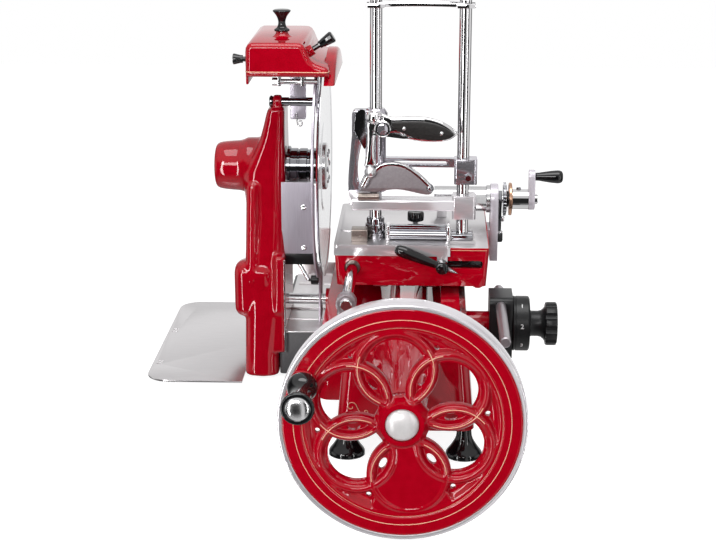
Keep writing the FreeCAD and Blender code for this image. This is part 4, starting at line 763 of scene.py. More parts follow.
def makeCoverKnobs():
    knob = turned("coverKnob", [(0, 0), (10.4, 0)] + curveThrough(
        [(10.6, 0.4), (10.6, 2.6), (7.2, 5), (5.4, 9), (5.2, 14), (7.4, 20.5), (11.4, 26), (12.5, 27.4),
         (12.2, 28.8), (9, 30), (0.4, 30.5)], 5), at(-181, 573, 504.5), (0, 0, 1), 96, 45)
    finish(knob, "sharpener", "blackGloss", "cover_knob")
    left = turned("grindingKnob", [(0, -76), (10.8, -76), (11, -75.6), (11, -69.4), (10.8, -69), (3.5, -69),
                                   (3.5, -6), (3.5, 0), (5.4, 0.2), (5.5, 3.4), (6.2, 6), (7.6, 12),
                                   (7.4, 13.4), (6.4, 14), (0, 14)],
                  at(-232.5, 540, 470), (-1, 0, 0), 64, 30)
    slot = block("slot", (-250, 530, 469.4), (-243, 550, 470.6), 0.1, 1)
    cutAway(left, slot)
    finish(left, "grinding_knob", "blackGloss", "grinding_knob")
    root = at(*cover["hone"]) + honingAxis() * 0.0125
    right = turned("honingKnob", [(0, -24), (3.5, -24), (3.5, 0), (5.0, 0.2), (5.3, 4), (6.0, 6), (8.2, 20),
                                  (7.9, 21.6), (6.8, 22.8), (0, 23)], root, honingAxis(), 12, 20)
    finish(right, "honing_knob", "blackGloss", "honing_knob")


makeCover()
makeCoverKnobs()
refined("stone_spindle", "groundSteel", 0.3)
print("sharpener made")
base = {"front": 230.0, "foot": 23.5, "footHeight": 48.0, "neck": 9.5, "footX": 75.5, "footY": (268.0, 805.0)}


def makeFeet():
    h, r, neck = base["footHeight"], base["foot"], base["neck"]
    bell = curveThrough([(r - 0.4, 1.2), (r - 0.6, 6), (r - 6.6, 14.4), (neck + 1.5, 25), (neck, 36),
                         (neck + 0.6, h)], 7)
    rings = [(0, 0), (r - 1.6, 0), (r, 0.5)] + bell + [(0, h)]
    places = [(x, y) for x in (-base["footX"], base["footX"]) for y in base["footY"]]
    first = turned("bellFoot1", rings, at(*places[0], 0), (0, 0, 1), 96, 50)
    for k, (x, y) in enumerate(places[1:]):
        foot = copied(first, f"bellFoot{k + 2}", (x - places[0][0], y - places[0][1], 0))
        finish(foot, "frame", "blackGloss", "bell_feet")
    finish(first, "frame", "blackGloss", "bell_feet")


def scroll(name, x, z, size, turn):
    # a pin-striped curl with a tail, on the front of the base
    points = []
    for k in range(41):
        angle = math.radians(turn * (200 - 9.5 * k))
        radius = size * (0.16 + 0.84 * k / 40)
        points.append((x + turn * radius * math.cos(angle), base["front"] - 0.1,
                       z + radius * math.sin(angle)))
    paintLine(name, points, 1.2, "frame", "goldLine")


def makeBaseLines():
    # one long curl low on the front face, with a tail that runs on towards the middle
    scroll("baseCurlA", -68, 79, 7.0, -1)
    scroll("baseCurlB", -50, 72.5, 4.5, 1)
    path = ((-61, 79), (-56, 71), (-44, 67), (-30, 68), (-12, 66))
    tail = [(x, base["front"] - 0.1, z) for x, z in path]
    paintLine("baseCurlTail", curveThrough(tail, 8), 1.2, "frame", "goldLine")


def makePlates():
    refined("base_deck", "greyIron", 1.2)
    refined("drip_tray", "sheetSteel", 0.4)
    refined("receiving_plate", "sheetSteel", 0.5)
    for k, y in enumerate((600, 780)):
        rib = bar(f"trayRib{k + 1}", 1.6, at(-178, y, 74.2), at(-124, y, 74.2), 20)
        finish(rib, "frame", "sheetSteel")


refined("base_casting", "redEnamel", 1.4, 38)
refined("shaft_bushes", "bearingBronze", 0.4)
makeFeet()
makeBaseLines()
makePlates()
print("base made")
carriage = {"front": 425.0, "slot": (41, 100, 205.6, 216.4), "sheet": (233.6, 234.25)}
table = {"z": 238.4, "apronFront": 420.5}
columns = {"left": -46.0, "right": 72.0, "y": 464.0, "radius": 8.4, "low": 238.4, "top": 552.0}
lock = {"x": 45.5, "front": 404.0, "z": 211.0, "lean": (-63, 0, 25)}
rodCentre = (-76.0, 205.0)


def makeCarriage():
    carriageBack = (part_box("carriage_casting")[1].y - drawingZero.y) * 1000
    refined("carriage_casting", "redEnamel", 1.6, 38)
    x0, x1, z0, z1 = carriage["slot"]
    # painted shade: a black plate at the back of the slot darkens it where the casting's own shade falls
    slotShade = block("slotShadePlate", (x0, 433.6, z0), (x1, 434.6, z1), 0.3)
    finish(slotShade, "carriage", "blackGloss")
    # a thin bright sheet covers the casting's top beside the table
    low, high = carriage["sheet"]
    sheet = block("carriageSheet", (52, 427, low), (107.5, carriageBack - 2, high), 0.2, 1)
    finish(sheet, "carriage", "sheetSteel")
    # painted highlight: a gold stripe just under the front's top edge stands for the light that edge catches
    line = [(x, carriage["front"] - 0.1, 231.2) for x in (57.5, 105.5)]
    paintLine("carriageEdgeHighlight", line, 1.2, "carriage", "goldLine")
    rod = turned("guideRod", [(0, 253), (6.6, 253), (7.5, 253.9), (7.5, 835.1), (6.6, 836), (0, 836)],
                 at(rodCentre[0], 0, rodCentre[1]), (0, 1, 0), 96, 30)
    finish(rod, "frame", "chromePlate", "guide_rod")
    # the lugs and pin that the crank's link takes hold of
    for k, (x0, x1) in enumerate(((-50, -26), (15, 40))):
        lug = block(f"linkLug{k + 1}", (x0, 437, 174.4), (x1, 455, 190), 4.5, 4)
        finish(lug, "carriage", "satinAluminium")
    pin = turned("linkPin", [(0, 0), (6.2, 0), (6.6, 0.4), (6.6, 12), (5.4, 12.6), (5.4, 14), (6.6, 14.6),
                             (6.6, 27), (6.2, 27.4), (0, 27.4)], at(-18, 446, 181), (1, 0, 0), 48, 30)
    finish(pin, "carriage", "blackGloss")


def makeTable():
    obj = refined("meat_table", "sheetSteel", 0.5)
    obj.data.materials.append(finishes["mirrorSteel"])
    front = at(0, table["apronFront"] + 0.6, 0).y
    for face in obj.data.polygons:
        if face.center.y < front:
            face.material_index = 1
    # a keyed steel block screwed to the near left corner
    key = block("tableBlock", (-78, 436, 238.5), (-56, 458, 255), 1.0)
    hole = cylinder("hole", 1.9, 6, at(-67, 434, 248), (0, 1, 0), 24)
    slot = block("hole", (-70.6, 434, 247.1), (-63.4, 437.5, 248.9), 0.2, 1)
    cutAway(key, hole, slot)
    finish(smoothShade(key, 40), "table", "bronzedSteel")
    for k, x in enumerate((-84, -62, -12)):
        groove = bar(f"tableGroove{k + 1}", 0.5, at(x, 480, 238.6), at(x, 640, 238.6), 12, 0.2)
        finish(groove, "table", "groundSteel")


def makeColumns():
    c = columns
    r, low, top = c["radius"], c["low"], c["top"]
    rings = [(0, low), (r, low), (r, top - 0.6), (r - 0.6, top), (0, top)]
    collar = [(r - 0.5, 0), (13.6, 0), (13.8, 0.4), (13.8, 8), (12.8, 8.6), (12.8, 10), (13.8, 10.6),
              (13.8, 19), (13.2, 19.8), (12, 20.2), (12, 27.2), (11.4, 28), (r - 0.5, 28)]
    for name, x in (("columnLeft", c["left"]), ("columnRight", c["right"])):
        finish(turned(name, rings, at(x, c["y"], 0), (0, 0, 1), 96, 30), "table", "chromePlate",
               "press_columns")
    nut = turned("columnCollar", collar, at(c["left"], c["y"], low), (0, 0, 1), 96, 30)
    for k in range(6):
        angle = math.radians(60 * k + 20)
        place = (c["left"] + 13.6 * math.cos(angle), c["y"] + 13.6 * math.sin(angle))
        cutAway(nut, cylinder("notch", 2.2, 12, at(*place, low + 11.5), sides=24))
    finish(smoothShade(nut, 30), "table", "darkChrome", "press_columns")
    seat = block("columnSeat", (57, 449, low), (87, 479, low + 8), 1.4)
    finish(seat, "table", "darkChrome", "press_columns")
    refined("crossbar", "chromePlate", 1.0, 35)
    for k, x in enumerate((c["left"], c["right"])):
        acorn = turned(f"columnNut{k + 1}", [(0, 5), (8, 5), (8.2, 5.4), (8.2, 10.6), (7.6, 11.2),
                                             (6.8, 13.4), (5.2, 15.8), (2.8, 17.2), (0, 17.5)],
                       at(x, c["y"], top), (0, 0, 1), 64, 35)
        finish(acorn, "table", "chromePlate", "column_nuts")


def makeFence():
    z = table["z"]
    plate = block("fencePlate", (-27, 451.5, z + 7), (51, 457, z + 20.6), 0.7)
    for dz in (10.5, 13.5, 16.5):
        groove = block("groove", (-30, 450.8, z + dz), (54, 452.1, z + dz + 0.9), 0.05, 1)
        cutAway(plate, groove)
    finish(smoothShade(plate, 40), "table", "darkChrome", "table_fence")
    rail = turned("fenceRail", [(0, 0), (6.2, 0), (6.8, 0.6), (6.8, 77.4), (6.2, 78), (0, 78)],
                  at(-27, 451.6, z + 6.9), (1, 0, 0), 64, 30)
    finish(rail, "table", "darkChrome", "table_fence")
    for k, x in enumerate((-31, 51)):
        cap = block(f"fenceEnd{k + 1}", (x, 444, z), (x + 5, 466, z + 21), 1.6)
        finish(cap, "table", "chromePlate", "table_fence")


def lobedKnob(name, radius, lobes, scallop, height, start, direction):
    # a turned disc with hollows between its lobes
    e = 0.12 * height
    body = turned(name, [(0, 0), (radius - 1.6 * e, 0), (radius - 0.4 * e, 0.5 * e), (radius, 1.5 * e),
                         (radius, height - 1.5 * e), (radius - 0.4 * e, height - 0.5 * e),
                         (radius - 1.6 * e, height), (0.45 * radius, height - 0.4), (0, height - 1.2)],
                  at(0, 0, 0), (0, 0, 1), 120)
    for k in range(lobes):
        angle = 2 * math.pi * k / lobes
        place = at((radius + 0.35 * scallop) * math.cos(angle), (radius + 0.35 * scallop) * math.sin(angle),
                   -3)
        cutAway(body, cylinder("hollow", scallop, height + 6, place, sides=40))
    ease = body.modifiers.new("ease", "BEVEL")
    ease.width, ease.segments, ease.limit_method, ease.angle_limit = 0.0006, 2, "ANGLE", math.radians(38)
    applyModifiers(body)
    turn = Vector(direction).normalized().to_track_quat("Z", "Y").to_matrix().to_4x4()
    body.matrix_world = Matrix.Translation(start) @ turn @ Matrix.Translation(-at(0, 0, 0))
    bakePlace(body)
    return smoothShade(body, 34)


def makeFenceKnob():
    knob = lobedKnob("fenceKnob", 11.5, 5, 4.0, 13, at(8.5, 478, 258.4), (0, 0, 1))
    finish(knob, "table", "blackGloss", "fence_knob")
    stem = bar("fenceKnobStem", 4, at(8.5, 478, 238.5), at(8.5, 478, 259), 32)
    finish(stem, "table", "chromePlate", "fence_knob")


def makeLock():
    lean = Vector(lock["lean"]).normalized()
    root = at(lock["x"], lock["front"] + 8, lock["z"])
    rings = [(0, 0), (4.4, 0), (4.6, 8), (5.1, 10), (5.1, 11.5), (6.9, 32), (8.0, 52), (8.0, 58), (7.2, 63.5),
             (5.0, 67), (2.4, 68.2), (0, 68.5)]
    handle = turned("lockHandle", rings, root, lean, 72, 35)
    finish(handle, "lock_lever", "blackGloss", "lock_lever")
    hub = turned("lockHub", [(0, -16), (8.5, -16), (8.5, -1.5), (7.4, -0.4), (5.2, 0), (4.8, 1.0),
                             (3.0, 1.6), (0, 1.8)],
                 at(lock["x"], lock["front"], lock["z"]), (0, -1, 0), 64, 35)
    finish(hub, "lock_lever", "blackGloss", "lock_lever")
    point = turned("lockPoint", [(0, 0), (3.8, 0), (3.8, 9), (3.2, 9.6), (2.9, 13), (0.7, 21.5), (0, 22)],
                   root, -lean, 40, 30)
    finish(point, "lock_lever", "darkChrome", "lock_lever")


makeCarriage()
makeTable()
makeColumns()
makeFence()
makeFenceKnob()
makeLock()
refined("carriage_bushes", "bronzedSteel", 0.3)
refined("rod_brackets", "greySatin", 1.2)
refined("roller_rail", "groundSteel", 0.6)
refined("rail_roller", "groundSteel", 0.5)
print("carriage and table made")
clamp = {"bar": 287.0, "ball": (-52.5, 443.0, 334.0), "pivot": (-36.0, 431.0, 395.0), "sleeve": 14.2}
footTop = [(-68, 307), (-60, 324), (-38, 344), (-12, 345), (10, 333), (30, 314), (32, 307)]
footLow = [(32, 307), (23, 302), (-16, 309), (-47, 305), (-68, 307)]
frameTop = [(-38, 415), (-29, 411.5), (-21, 410), (0, 411), (20, 410.4), (35.7, 407), (47, 402.5), (57, 396),
            (65, 388.4)]
frameLow = [(65, 388.4), (55, 381), (45.6, 378), (32, 376.8), (17, 377.4), (1.7, 379.6), (-10, 382.4),
            (-23, 385.6), (-38, 387)]
frameEye = [(-30, 387.4), (-21, 388.6), (-14, 388.2), (-6, 384.8), (-16, 385.6)]
gripTop = [(-24.5, 404.6), (-10, 405.6), (5, 406), (20, 405.2), (34, 402.4), (47, 397), (56, 391),
           (59.5, 387.6)]
gripLow = [(59.5, 387.6), (54, 383.2), (45, 380.6), (32, 379.6), (17, 381.2), (3.6, 384), (-9.7, 390),
           (-17.4, 393.1), (-24.5, 395.3)]
neckFront = [(-57.5, 404), (-57.6, 383), (-58, 366), (-59.6, 352), (-61, 341), (-44, 341), (-46.6, 353),
             (-47, 366), (-45.6, 381), (-43, 398), (-41, 404)]


def closedOutline(top, low, steps=6):
    return curveThrough(top, steps)[:-1] + curveThrough(low, steps)[:-1]


def inset(line, amount):
    # the same line moved square to itself, to the right of its run
    moved = []
    for i, (a, b) in enumerate(line):
        before, after = line[max(i - 1, 0)], line[min(i + 1, len(line) - 1)]
        run = Vector((after[0] - before[0], after[1] - before[1])).normalized()
        moved.append((a + run.y * amount, b - run.x * amount))
    return moved


def sleeveRoom():
    return cylinder("sleeveRoom", clamp["sleeve"], 70, at(columns["left"], columns["y"], 290), sides=64)


def makeFoot():
    face = profilePlate("pressFoot", [closedOutline(footTop, footLow)], 452.2, 9.5, 1.6, angle=30)
    cutAway(face, sleeveRoom())
    finish(smoothShade(face, 30), "clamp", "greySatin", "press_foot")
    # a thick bright bead runs over its upper edge and ends in a dark nose
    top = curveThrough(footTop[1:6], 8)
    band = profilePlate("footBead", [top + inset(top, 5.2)[::-1]], 449.5, 9.0, 1.4, angle=30)
    cutAway(band, sleeveRoom())
    finish(smoothShade(band, 30), "clamp", "chromePlate")
    nose = turned("footNose", curveThrough([(0.3, -6.2), (3.4, -5), (5, -1.5), (5, 2), (3.4, 5), (0.3, 6.2)],
                                           4),
                  at(27.5, 449.6, 311.5), (-0.62, 0, 0.78), 40, 50)
    finish(nose, "clamp", "darkChrome")
    ball = turned("clampBall", [(8 * math.sin(math.pi * k / 24),
                                 -8 * math.cos(math.pi * k / 24)) for k in range(25)],
                  at(*clamp["ball"]), (0, 0, 1), 64, 60)
    finish(ball, "clamp", "satinAluminium", "press_foot")
    seat = turned("ballSeat", [(0, 0), (4.6, 0), (5.2, 0.6), (5.2, 15), (4.2, 16), (0, 16)],
                  at(-56, 444, 328), (-0.45, 0, -0.9), 32, 35)
    finish(seat, "clamp", "chromePlate")


def makeLever():
    outlines = [closedOutline(frameTop, frameLow), curveThrough(frameEye + frameEye[:1], 5)[:-1]]
    loop = profilePlate("leverFrame", outlines, 439, 11, 3.2, angle=40)
    eye = turned("leverEye", [(4.3, 0), (9.6, 0), (11, 1.2), (11, 14.8), (9.6, 16), (4.3, 16), (4.3, 0)],
                 at(*clamp["pivot"]), (0, 1, 0), 64, 35)
    finish(loop, "clamp_lever", "chromePlate", "lever_arm")
    finish(eye, "clamp_lever", "chromePlate", "lever_arm")
    outline = [closedOutline(gripTop, gripLow)]
    for k, middle in enumerate((433.2, 444.8)):
        scale = profilePlate(f"leverGrip{k + 1}", outline, middle, 5.4, 2.4, angle=40)
        finish(scale, "clamp_lever", "blackGrip", "lever_grips")
    for k, (x, z) in enumerate(((-7.5, 395.9), (42.2, 389.9))):
        rivet = turned(f"gripRivet{k + 1}", [(0, 0), (2.7, 0), (2.7, 17.2), (2.0, 17.9), (0, 18.3)],
                       at(x, 448, z), (0, -1, 0), 32, 35)
        finish(rivet, "clamp_lever", "satinAluminium")


def makeNeck():
    # a forged neck stands before the left column, from the collar down to the ball
    neck = profilePlate("clampNeck", [neckFront], 447.5, 9, 3.6, angle=40)
    finish(neck, "clamp", "chromePlate")
    cap = turned("neckCap", curveThrough([(0.4, 9), (7, 8.6), (10.4, 6.4), (11.4, 2), (10.8, -3),
                                          (8.4, -6.4), (6, -8)], 4),
                 at(-48, 448, 407), (0, 0, 1), 64, 50)
    finish(cap, "clamp", "chromePlate")
    plate = profilePlate("guardPlate", [[(-72.5, 413), (-66, 418.5), (-60.5, 417), (-58.5, 412),
                                         (-58.2, 367), (-61, 363), (-67.7, 375.5), (-75, 388), (-74, 402)]],
                         451.2, 2.4, 0.5)
    finish(plate, "clamp", "darkChrome")


def makeBars():
    refined("clamp_casting", "shadedChrome", 0.9, 35)
    refined("press_bar", "polishedBar", 1.0, 35)
    # flutes along the lower bar
    for k, dz in enumerate((-3.2, 0.8)):
        flute = bar(f"barFlute{k + 1}", 0.55, at(-70, 449.1, clamp["bar"] + dz),
                    at(56, 449.1, clamp["bar"] + dz), 12, 0.2)
        finish(flute, "clamp", "darkChrome")
    split = block("blockSplit", (58.6, 448.7, 283.4), (90.4, 460, 285.4), 0.3, 1)
    finish(split, "clamp", "blackSatin")
    # a dark bar lies between the foot and the lower bar, with a bright screw at its end
    tie = turned("tieBar", [(0, 0), (4.6, 0), (5.0, 0.5), (5.0, 27.5), (4.6, 28), (0, 28)],
                 at(-69, 447.5, 299), (1, 0, 0), 48, 30)
    finish(tie, "clamp", "bronzedSteel")
    screw = turned("tieScrew", [(0, -3), (3.0, -3), (3.6, -2.6), (3.6, 1), (2.6, 2), (0, 2.2)],
                   at(-69, 447.5, 299), (-1, 0, 0), 32, 35)
    finish(screw, "clamp", "chromePlate")
    # the pinch screw under the upper beam's block
    pinch = turned("pinchScrew", [(0, 0), (4.4, 0), (5.2, 0.8), (5.2, 5.6), (4.4, 6.4), (0, 6.4)],
                   at(79, 450.4, 326), (0, -1, 0), 6, 20)
    finish(pinch, "clamp", "darkChrome")


makeFoot()
makeLever()
makeNeck()
makeBars()
print("clamp made")
feed = {"y": 578.0, "z": 266.0, "ratchet": (131.5, 137.0, 24.0), "teeth": 30,
        "dial": (140.0, 144.5, 23.5), "hub": (145.0, 168.0, 14.5), "arm": (168.0, 177.0), "crank": 33.0}


def makeScrew():
    refined("screw_tube", "groundSteel", 0.4, 30)
    collar = turned("tubeCollar", [(6.2, 0), (19.2, 0), (19.8, 0.6), (19.8, 5.4), (19.2, 6), (6.2, 6),
                                   (6.2, 0)],
                    at(108, feed["y"], feed["z"]), (1, 0, 0), 96, 30)
    finish(collar, "carriage", "groundSteel")
    # a square thread shows at the screw's free end and through the tube's slot
    core = turned("feedScrew", [(0, 35), (5.0, 35), (5.6, 35.6), (5.6, 110), (6, 110.4), (6, 167), (0, 167)],
                  at(0, feed["y"], feed["z"]), (1, 0, 0), 48, 30)
    turns, each, pitch, r = 18, 20, 4, 5.3
    line = []
    for k in range(turns * each + 1):
        angle = 2 * math.pi * k / each
        line.append((37 + pitch * k / each, feed["y"] + r * math.cos(angle), feed["z"] + r * math.sin(angle)))
    screw = joined("feedScrew", core, roundWire("screwThread", line, 0.7))
    finish(screw, "feed_crank", "groundSteel", "feed_screw")
    refined("feed_nut", "groundSteel", 0.6)


def makeRatchet():
    x0, x1, r = feed["ratchet"]
    wheel = turned("feedRatchet", [(6.1, 0), (r - 4, 0), (r - 3.4, 0.6), (r - 0.6, 0.6), (r, 1.2), (r, 4.3),
                                   (r - 0.6, 4.9), (r - 3.4, 4.9), (r - 4, 5.5), (6.1, 5.5), (6.1, 0)],
                   at(x0, feed["y"], feed["z"]), (1, 0, 0), 180, 30)
    tooth = turned("gap", [(0, -2), (1.75, -2), (1.75, 8), (0, 8)], at(x0, feed["y"] + r + 0.4, feed["z"]),
                   (1, 0, 0), 12)
    cutters = []
    for k in range(feed["teeth"]):
        angle = 2 * math.pi * k / feed["teeth"]
        cutters.append(copied(tooth, "gap", (0, (r + 0.4) * (math.cos(angle) - 1),
                                             (r + 0.4) * math.sin(angle))))
    cutAway(wheel, joined("gaps", *cutters))
    bpy.data.objects.remove(tooth)
    finish(smoothShade(wheel, 30), "feed_crank", "darkChrome", "feed_ratchet")
    spacer = turned("dialSpacer", [(6.1, 0), (11, 0), (11.4, 0.4), (11.4, 2.6), (11, 3), (6.1, 3), (6.1, 0)],
                    at(x1, feed["y"], feed["z"]), (1, 0, 0), 64, 30)
    finish(spacer, "feed_crank", "blackSatin")
    d0, d1, dr = feed["dial"]
    thick = d1 - d0
    disc = turned("feedDial", [(6.1, 0.4), (dr - 3, 0.4), (dr - 2.4, 0), (dr - 0.8, 0), (dr, 0.8),
                               (dr, thick - 0.8), (dr - 0.8, thick), (dr - 2.4, thick), (dr - 3, 4.1),
                               (6.1, 4.1), (6.1, 0.4)],
                  at(d0, feed["y"], feed["z"]), (1, 0, 0), 128, 30)
    finish(disc, "feed_crank", "copperEdge", "feed_dial")


def makeFeedCrank():
    x0, x1, r = feed["hub"]
    hub = turned("feedHub", [(6.1, 0), (r - 0.6, 0), (r, 0.6), (r, x1 - x0), (6.1, x1 - x0), (6.1, 0)],
                 at(x0, feed["y"], feed["z"]), (1, 0, 0), 96, 30)
    finish(hub, "feed_crank", "chromePlate", "feed_crank")
    low, high, z = 15.0, 10.0, feed["z"]
    outline = []
    for radius, height, start in ((low, z, 180), (high, z + feed["crank"], 0)):
        for k in range(25):
            angle = math.radians(start + 180 * k / 24)
            outline.append((feed["y"] + radius * math.cos(angle), height + radius * math.sin(angle)))
    a0, a1 = feed["arm"]
    arm = profilePlate("feedArm", [outline], (a0 + a1) / 2, a1 - a0, 0.9, plane="YZ")
    finish(arm, "feed_crank", "paleSatin", "feed_crank")
    nut = turned("feedArmNut", [(0, 0), (7, 0), (7.2, 0.3), (7.2, 3.4), (6.4, 4.2), (0, 4.4)],
                 at(a1, feed["y"], z), (1, 0, 0), 48, 30)
    finish(nut, "feed_crank", "chromePlate")
    screw = turned("hubScrew", [(0, 0), (3.0, 0), (3.2, 0.3), (3.2, 2.6), (2.4, 3.2), (0, 3.4)],
                   at(154, feed["y"], z + r - 0.4), (0, 0, 1), 32, 30)
    finish(screw, "feed_crank", "darkChrome")
    z += feed["crank"]
    spindle = bar("feedSpindle", 3.0, at(a1 - 1, feed["y"], z), at(a1 + 37, feed["y"], z), 32)
    finish(spindle, "feed_crank", "groundSteel", "feed_crank")
    rings = [(3.1, 0), (5.4, 0), (5.6, 0.3), (5.9, 5), (6.6, 9), (8.6, 22), (9.4, 31), (9.2, 34.5),
             (7.8, 37.4), (5, 38.8), (0, 39.2)]
    grip = turned("feedGrip", [(0, 1)] + rings, at(a1 + 0.5, feed["y"], z), (1, 0, 0), 72, 40)
    finish(grip, "feed_grip", "blackGloss", "feed_grip")


def makePawl():
    x, y, z = 125.5, feed["y"], feed["z"]
    arm = profilePlate("pawlArm", [[(y - 12, z + 2), (y - 5.2, z - 14), (y - 4.2, z - 52), (y + 4.2, z - 52),
                                    (y + 5.2, z - 14), (y + 12, z + 2), (y + 8, z + 9), (y, z + 12),
                                    (y - 8, z + 9)]],
                       x + 2.5, 5.0, 0.6, plane="YZ")
    cutAway(arm, cylinder("eye", 6.1, 16, at(x - 4, y, z), (1, 0, 0)))
    finish(smoothShade(arm, 32), "pawl_lever", "darkChrome", "pawl_lever")
    ferrule = turned("pawlFerrule", [(0, 0), (4.6, 0), (4.8, 0.3), (4.8, 2.4), (4.6, 2.7), (0, 2.7)],
                     at(x + 2.5, y, z - 47), (0, 0, -1), 40, 30)
    finish(ferrule, "pawl_lever", "chromePlate")
    tip = turned("pawlTip", [(0, 0), (4.6, 0), (5.0, 0.6), (5.2, 10), (4.4, 12.4), (2, 13.2), (0, 13.3)],
                 at(x + 2.5, y, z - 50.5), (0, 0, -1), 48, 40)
    finish(tip, "pawl_lever", "blackGloss", "pawl_lever")
    catch = block("pawlCatch", (x + 5.2, y - 4, z - 33), (x + 9.4, y + 4, z - 25.5), 1.2)
    finish(catch, "pawl_lever", "chromePlate")


refined("end_plate", "paleSatin", 1.0, 35)
makeScrew()
makeRatchet()
makeFeedCrank()
makePawl()
print("cross feed made")
dial = {"x": 142.0, "y": 433.0, "z": 127.0, "radius": 37.5, "width": 23.0, "neck": 17.4,
        "knob": (30.0, 10, 6.0), "figures": ((55, "1"), (10, "2"), (-35, "3")), "figureSize": 9.0}


def makeDial():
    r, w, neck = dial["radius"], dial["width"], dial["neck"]
    rings = [(0, 0), (r - 1.6, 0), (r - 0.6, 0.5), (r, 1.4), (r, 2.8), (r - 0.9, 3.3), (r - 0.9, 4.1),
             (r, 4.6), (r, w - 2.4), (r - 0.8, w - 1), (r - 2.6, w), (r - 6, w), (neck + 3, w + 0.2),
             (neck + 0.6, w + 1.4), (neck, w + 3.6), (neck, w + 12), (neck + 1, w + 16),
             (neck + 4, w + 19.6), (neck + 5, w + 20), (neck + 7, w + 22), (0, w + 22)]
    drum = turned("thicknessDial", rings, at(dial["x"], dial["y"], dial["z"]), (1, 0, 0), 160, 28)
    finish(drum, "thickness_dial", "blackSatin", "thickness_dial")
    radius, lobes, scallop = dial["knob"]
    knob = lobedKnob("dialKnob", radius, lobes, scallop, 16, at(dial["x"] + w + 21.5, dial["y"], dial["z"]),
                     (1, 0, 0))
    finish(knob, "thickness_dial", "blackSatin", "thickness_dial")
    shaft = bar("dialShaft", 7.9, at(90, dial["y"], dial["z"]), at(143, dial["y"], dial["z"]), 48)
    finish(shaft, "thickness_dial", "groundSteel", "thickness_dial")


def wrapped(obj, around, radius):
    # bends a flat mark round the drum, from its own height to an angle
    for vertex in obj.data.vertices:
        x, y, z = vertex.co
        angle = around + z / radius
        vertex.co = (x, -(radius + y) * math.cos(angle), (radius + y) * math.sin(angle))
    obj.data.update()
    return obj


def makeFigures():
    middle = dial["x"] + 0.5 * dial["width"] + 0.6
    for angle, figure in dial["figures"]:
        deselect()
        bpy.ops.object.text_add(location=(0, 0, 0))
        text = named(bpy.context.object, "dialFigure" + figure)
        text.data.body, text.data.size, text.data.extrude = figure, dial["figureSize"] / 1000, 0.0003
        text.data.align_x, text.data.align_y = "CENTER", "CENTER"
        bpy.ops.object.convert(target="MESH")
        text = named(bpy.context.object, "dialFigure" + figure)
        text.matrix_world = Matrix(((1, 0, 0, 0), (0, 0, 1, 0), (0, 1, 0, 0), (0, 0, 0, 1)))
        bakePlace(text)
        wrapped(text, math.radians(angle), dial["radius"] / 1000)
        text.matrix_world = Matrix.Translation(at(middle, dial["y"], dial["z"]))
        bakePlace(text)
        tidyMesh(text, 0.001)
        finish(text, "thickness_dial", "whiteFigure")


def makeDialBracket():
    refined("dial_bracket", "blackSatin", 1.6, 35)
    rod = turned("controlRod", [(0, 0), (5.6, 0), (7, 1.4), (7, 230), (5.4, 231.6), (0, 232)],
                 at(125, 253, 159), (0, 1, 0), 64, 30)
    finish(rod, "frame", "greySatin", "control_rod")


makeDial()
makeFigures()
makeDialBracket()
print("dial made")
studio = {"fill": 0.30, "floorGlow": 0.88, "floorShade": 0.42,
          "upBands": ((-1.0, 0.7), (-0.80, 0.5), (-0.52, 0.02), (0.30, 0.02), (0.46, 0.7), (1.0, 0.9)),
          "depthBands": ((-1.0, 0.0), (-0.35, 0.0), (0.55, 0.03), (0.74, 0.30), (0.90, 0.9), (1.0, 1.0)),
          "sideBands": ((-1.0, 0.9), (-0.96, 0.9), (-0.88, 0.04), (-0.60, 0.02), (-0.54, 0.16), (-0.40, 0.16),
                        (-0.34, 0.02), (0.13, 0.02), (0.18, 0.85), (0.42, 0.85), (0.48, 0.02), (0.88, 0.03),
                        (0.96, 0.9), (1.0, 0.9)),
          "camera": (27, -1700, 820.6), "cameraTilt": 16.216, "cameraTurn": 2.568, "lens": 82.18,
          "lamps": (("softTop", (1.5, 0.9), (0, 150, 1700), (0, 450, 200), 18),
                    ("leftStrip", (0.14, 2.0), (-950, -900, 150), (-100, 300, 150), 13),
                    ("rightStrip", (0.10, 2.0), (1150, -900, 150), (50, 350, 150), 6),
                    ("frontPanel", (1.6, 0.55), (-650, -2000, 1080), (-100, 400, 250), 25))}


def makeLamp(name, size, place, target, power, shade=(1, 1, 1)):
    deselect()
    bpy.ops.object.light_add(type="AREA", location=place)
    lamp = named(bpy.context.object, name)
    lamp.data.shape, lamp.data.size, lamp.data.size_y = "RECTANGLE", size[0], size[1]
    lamp.data.energy, lamp.data.color = power, shade
    lamp.rotation_euler = (Vector(target) - Vector(place)).to_track_quat("-Z", "Y").to_euler()
    return lamp


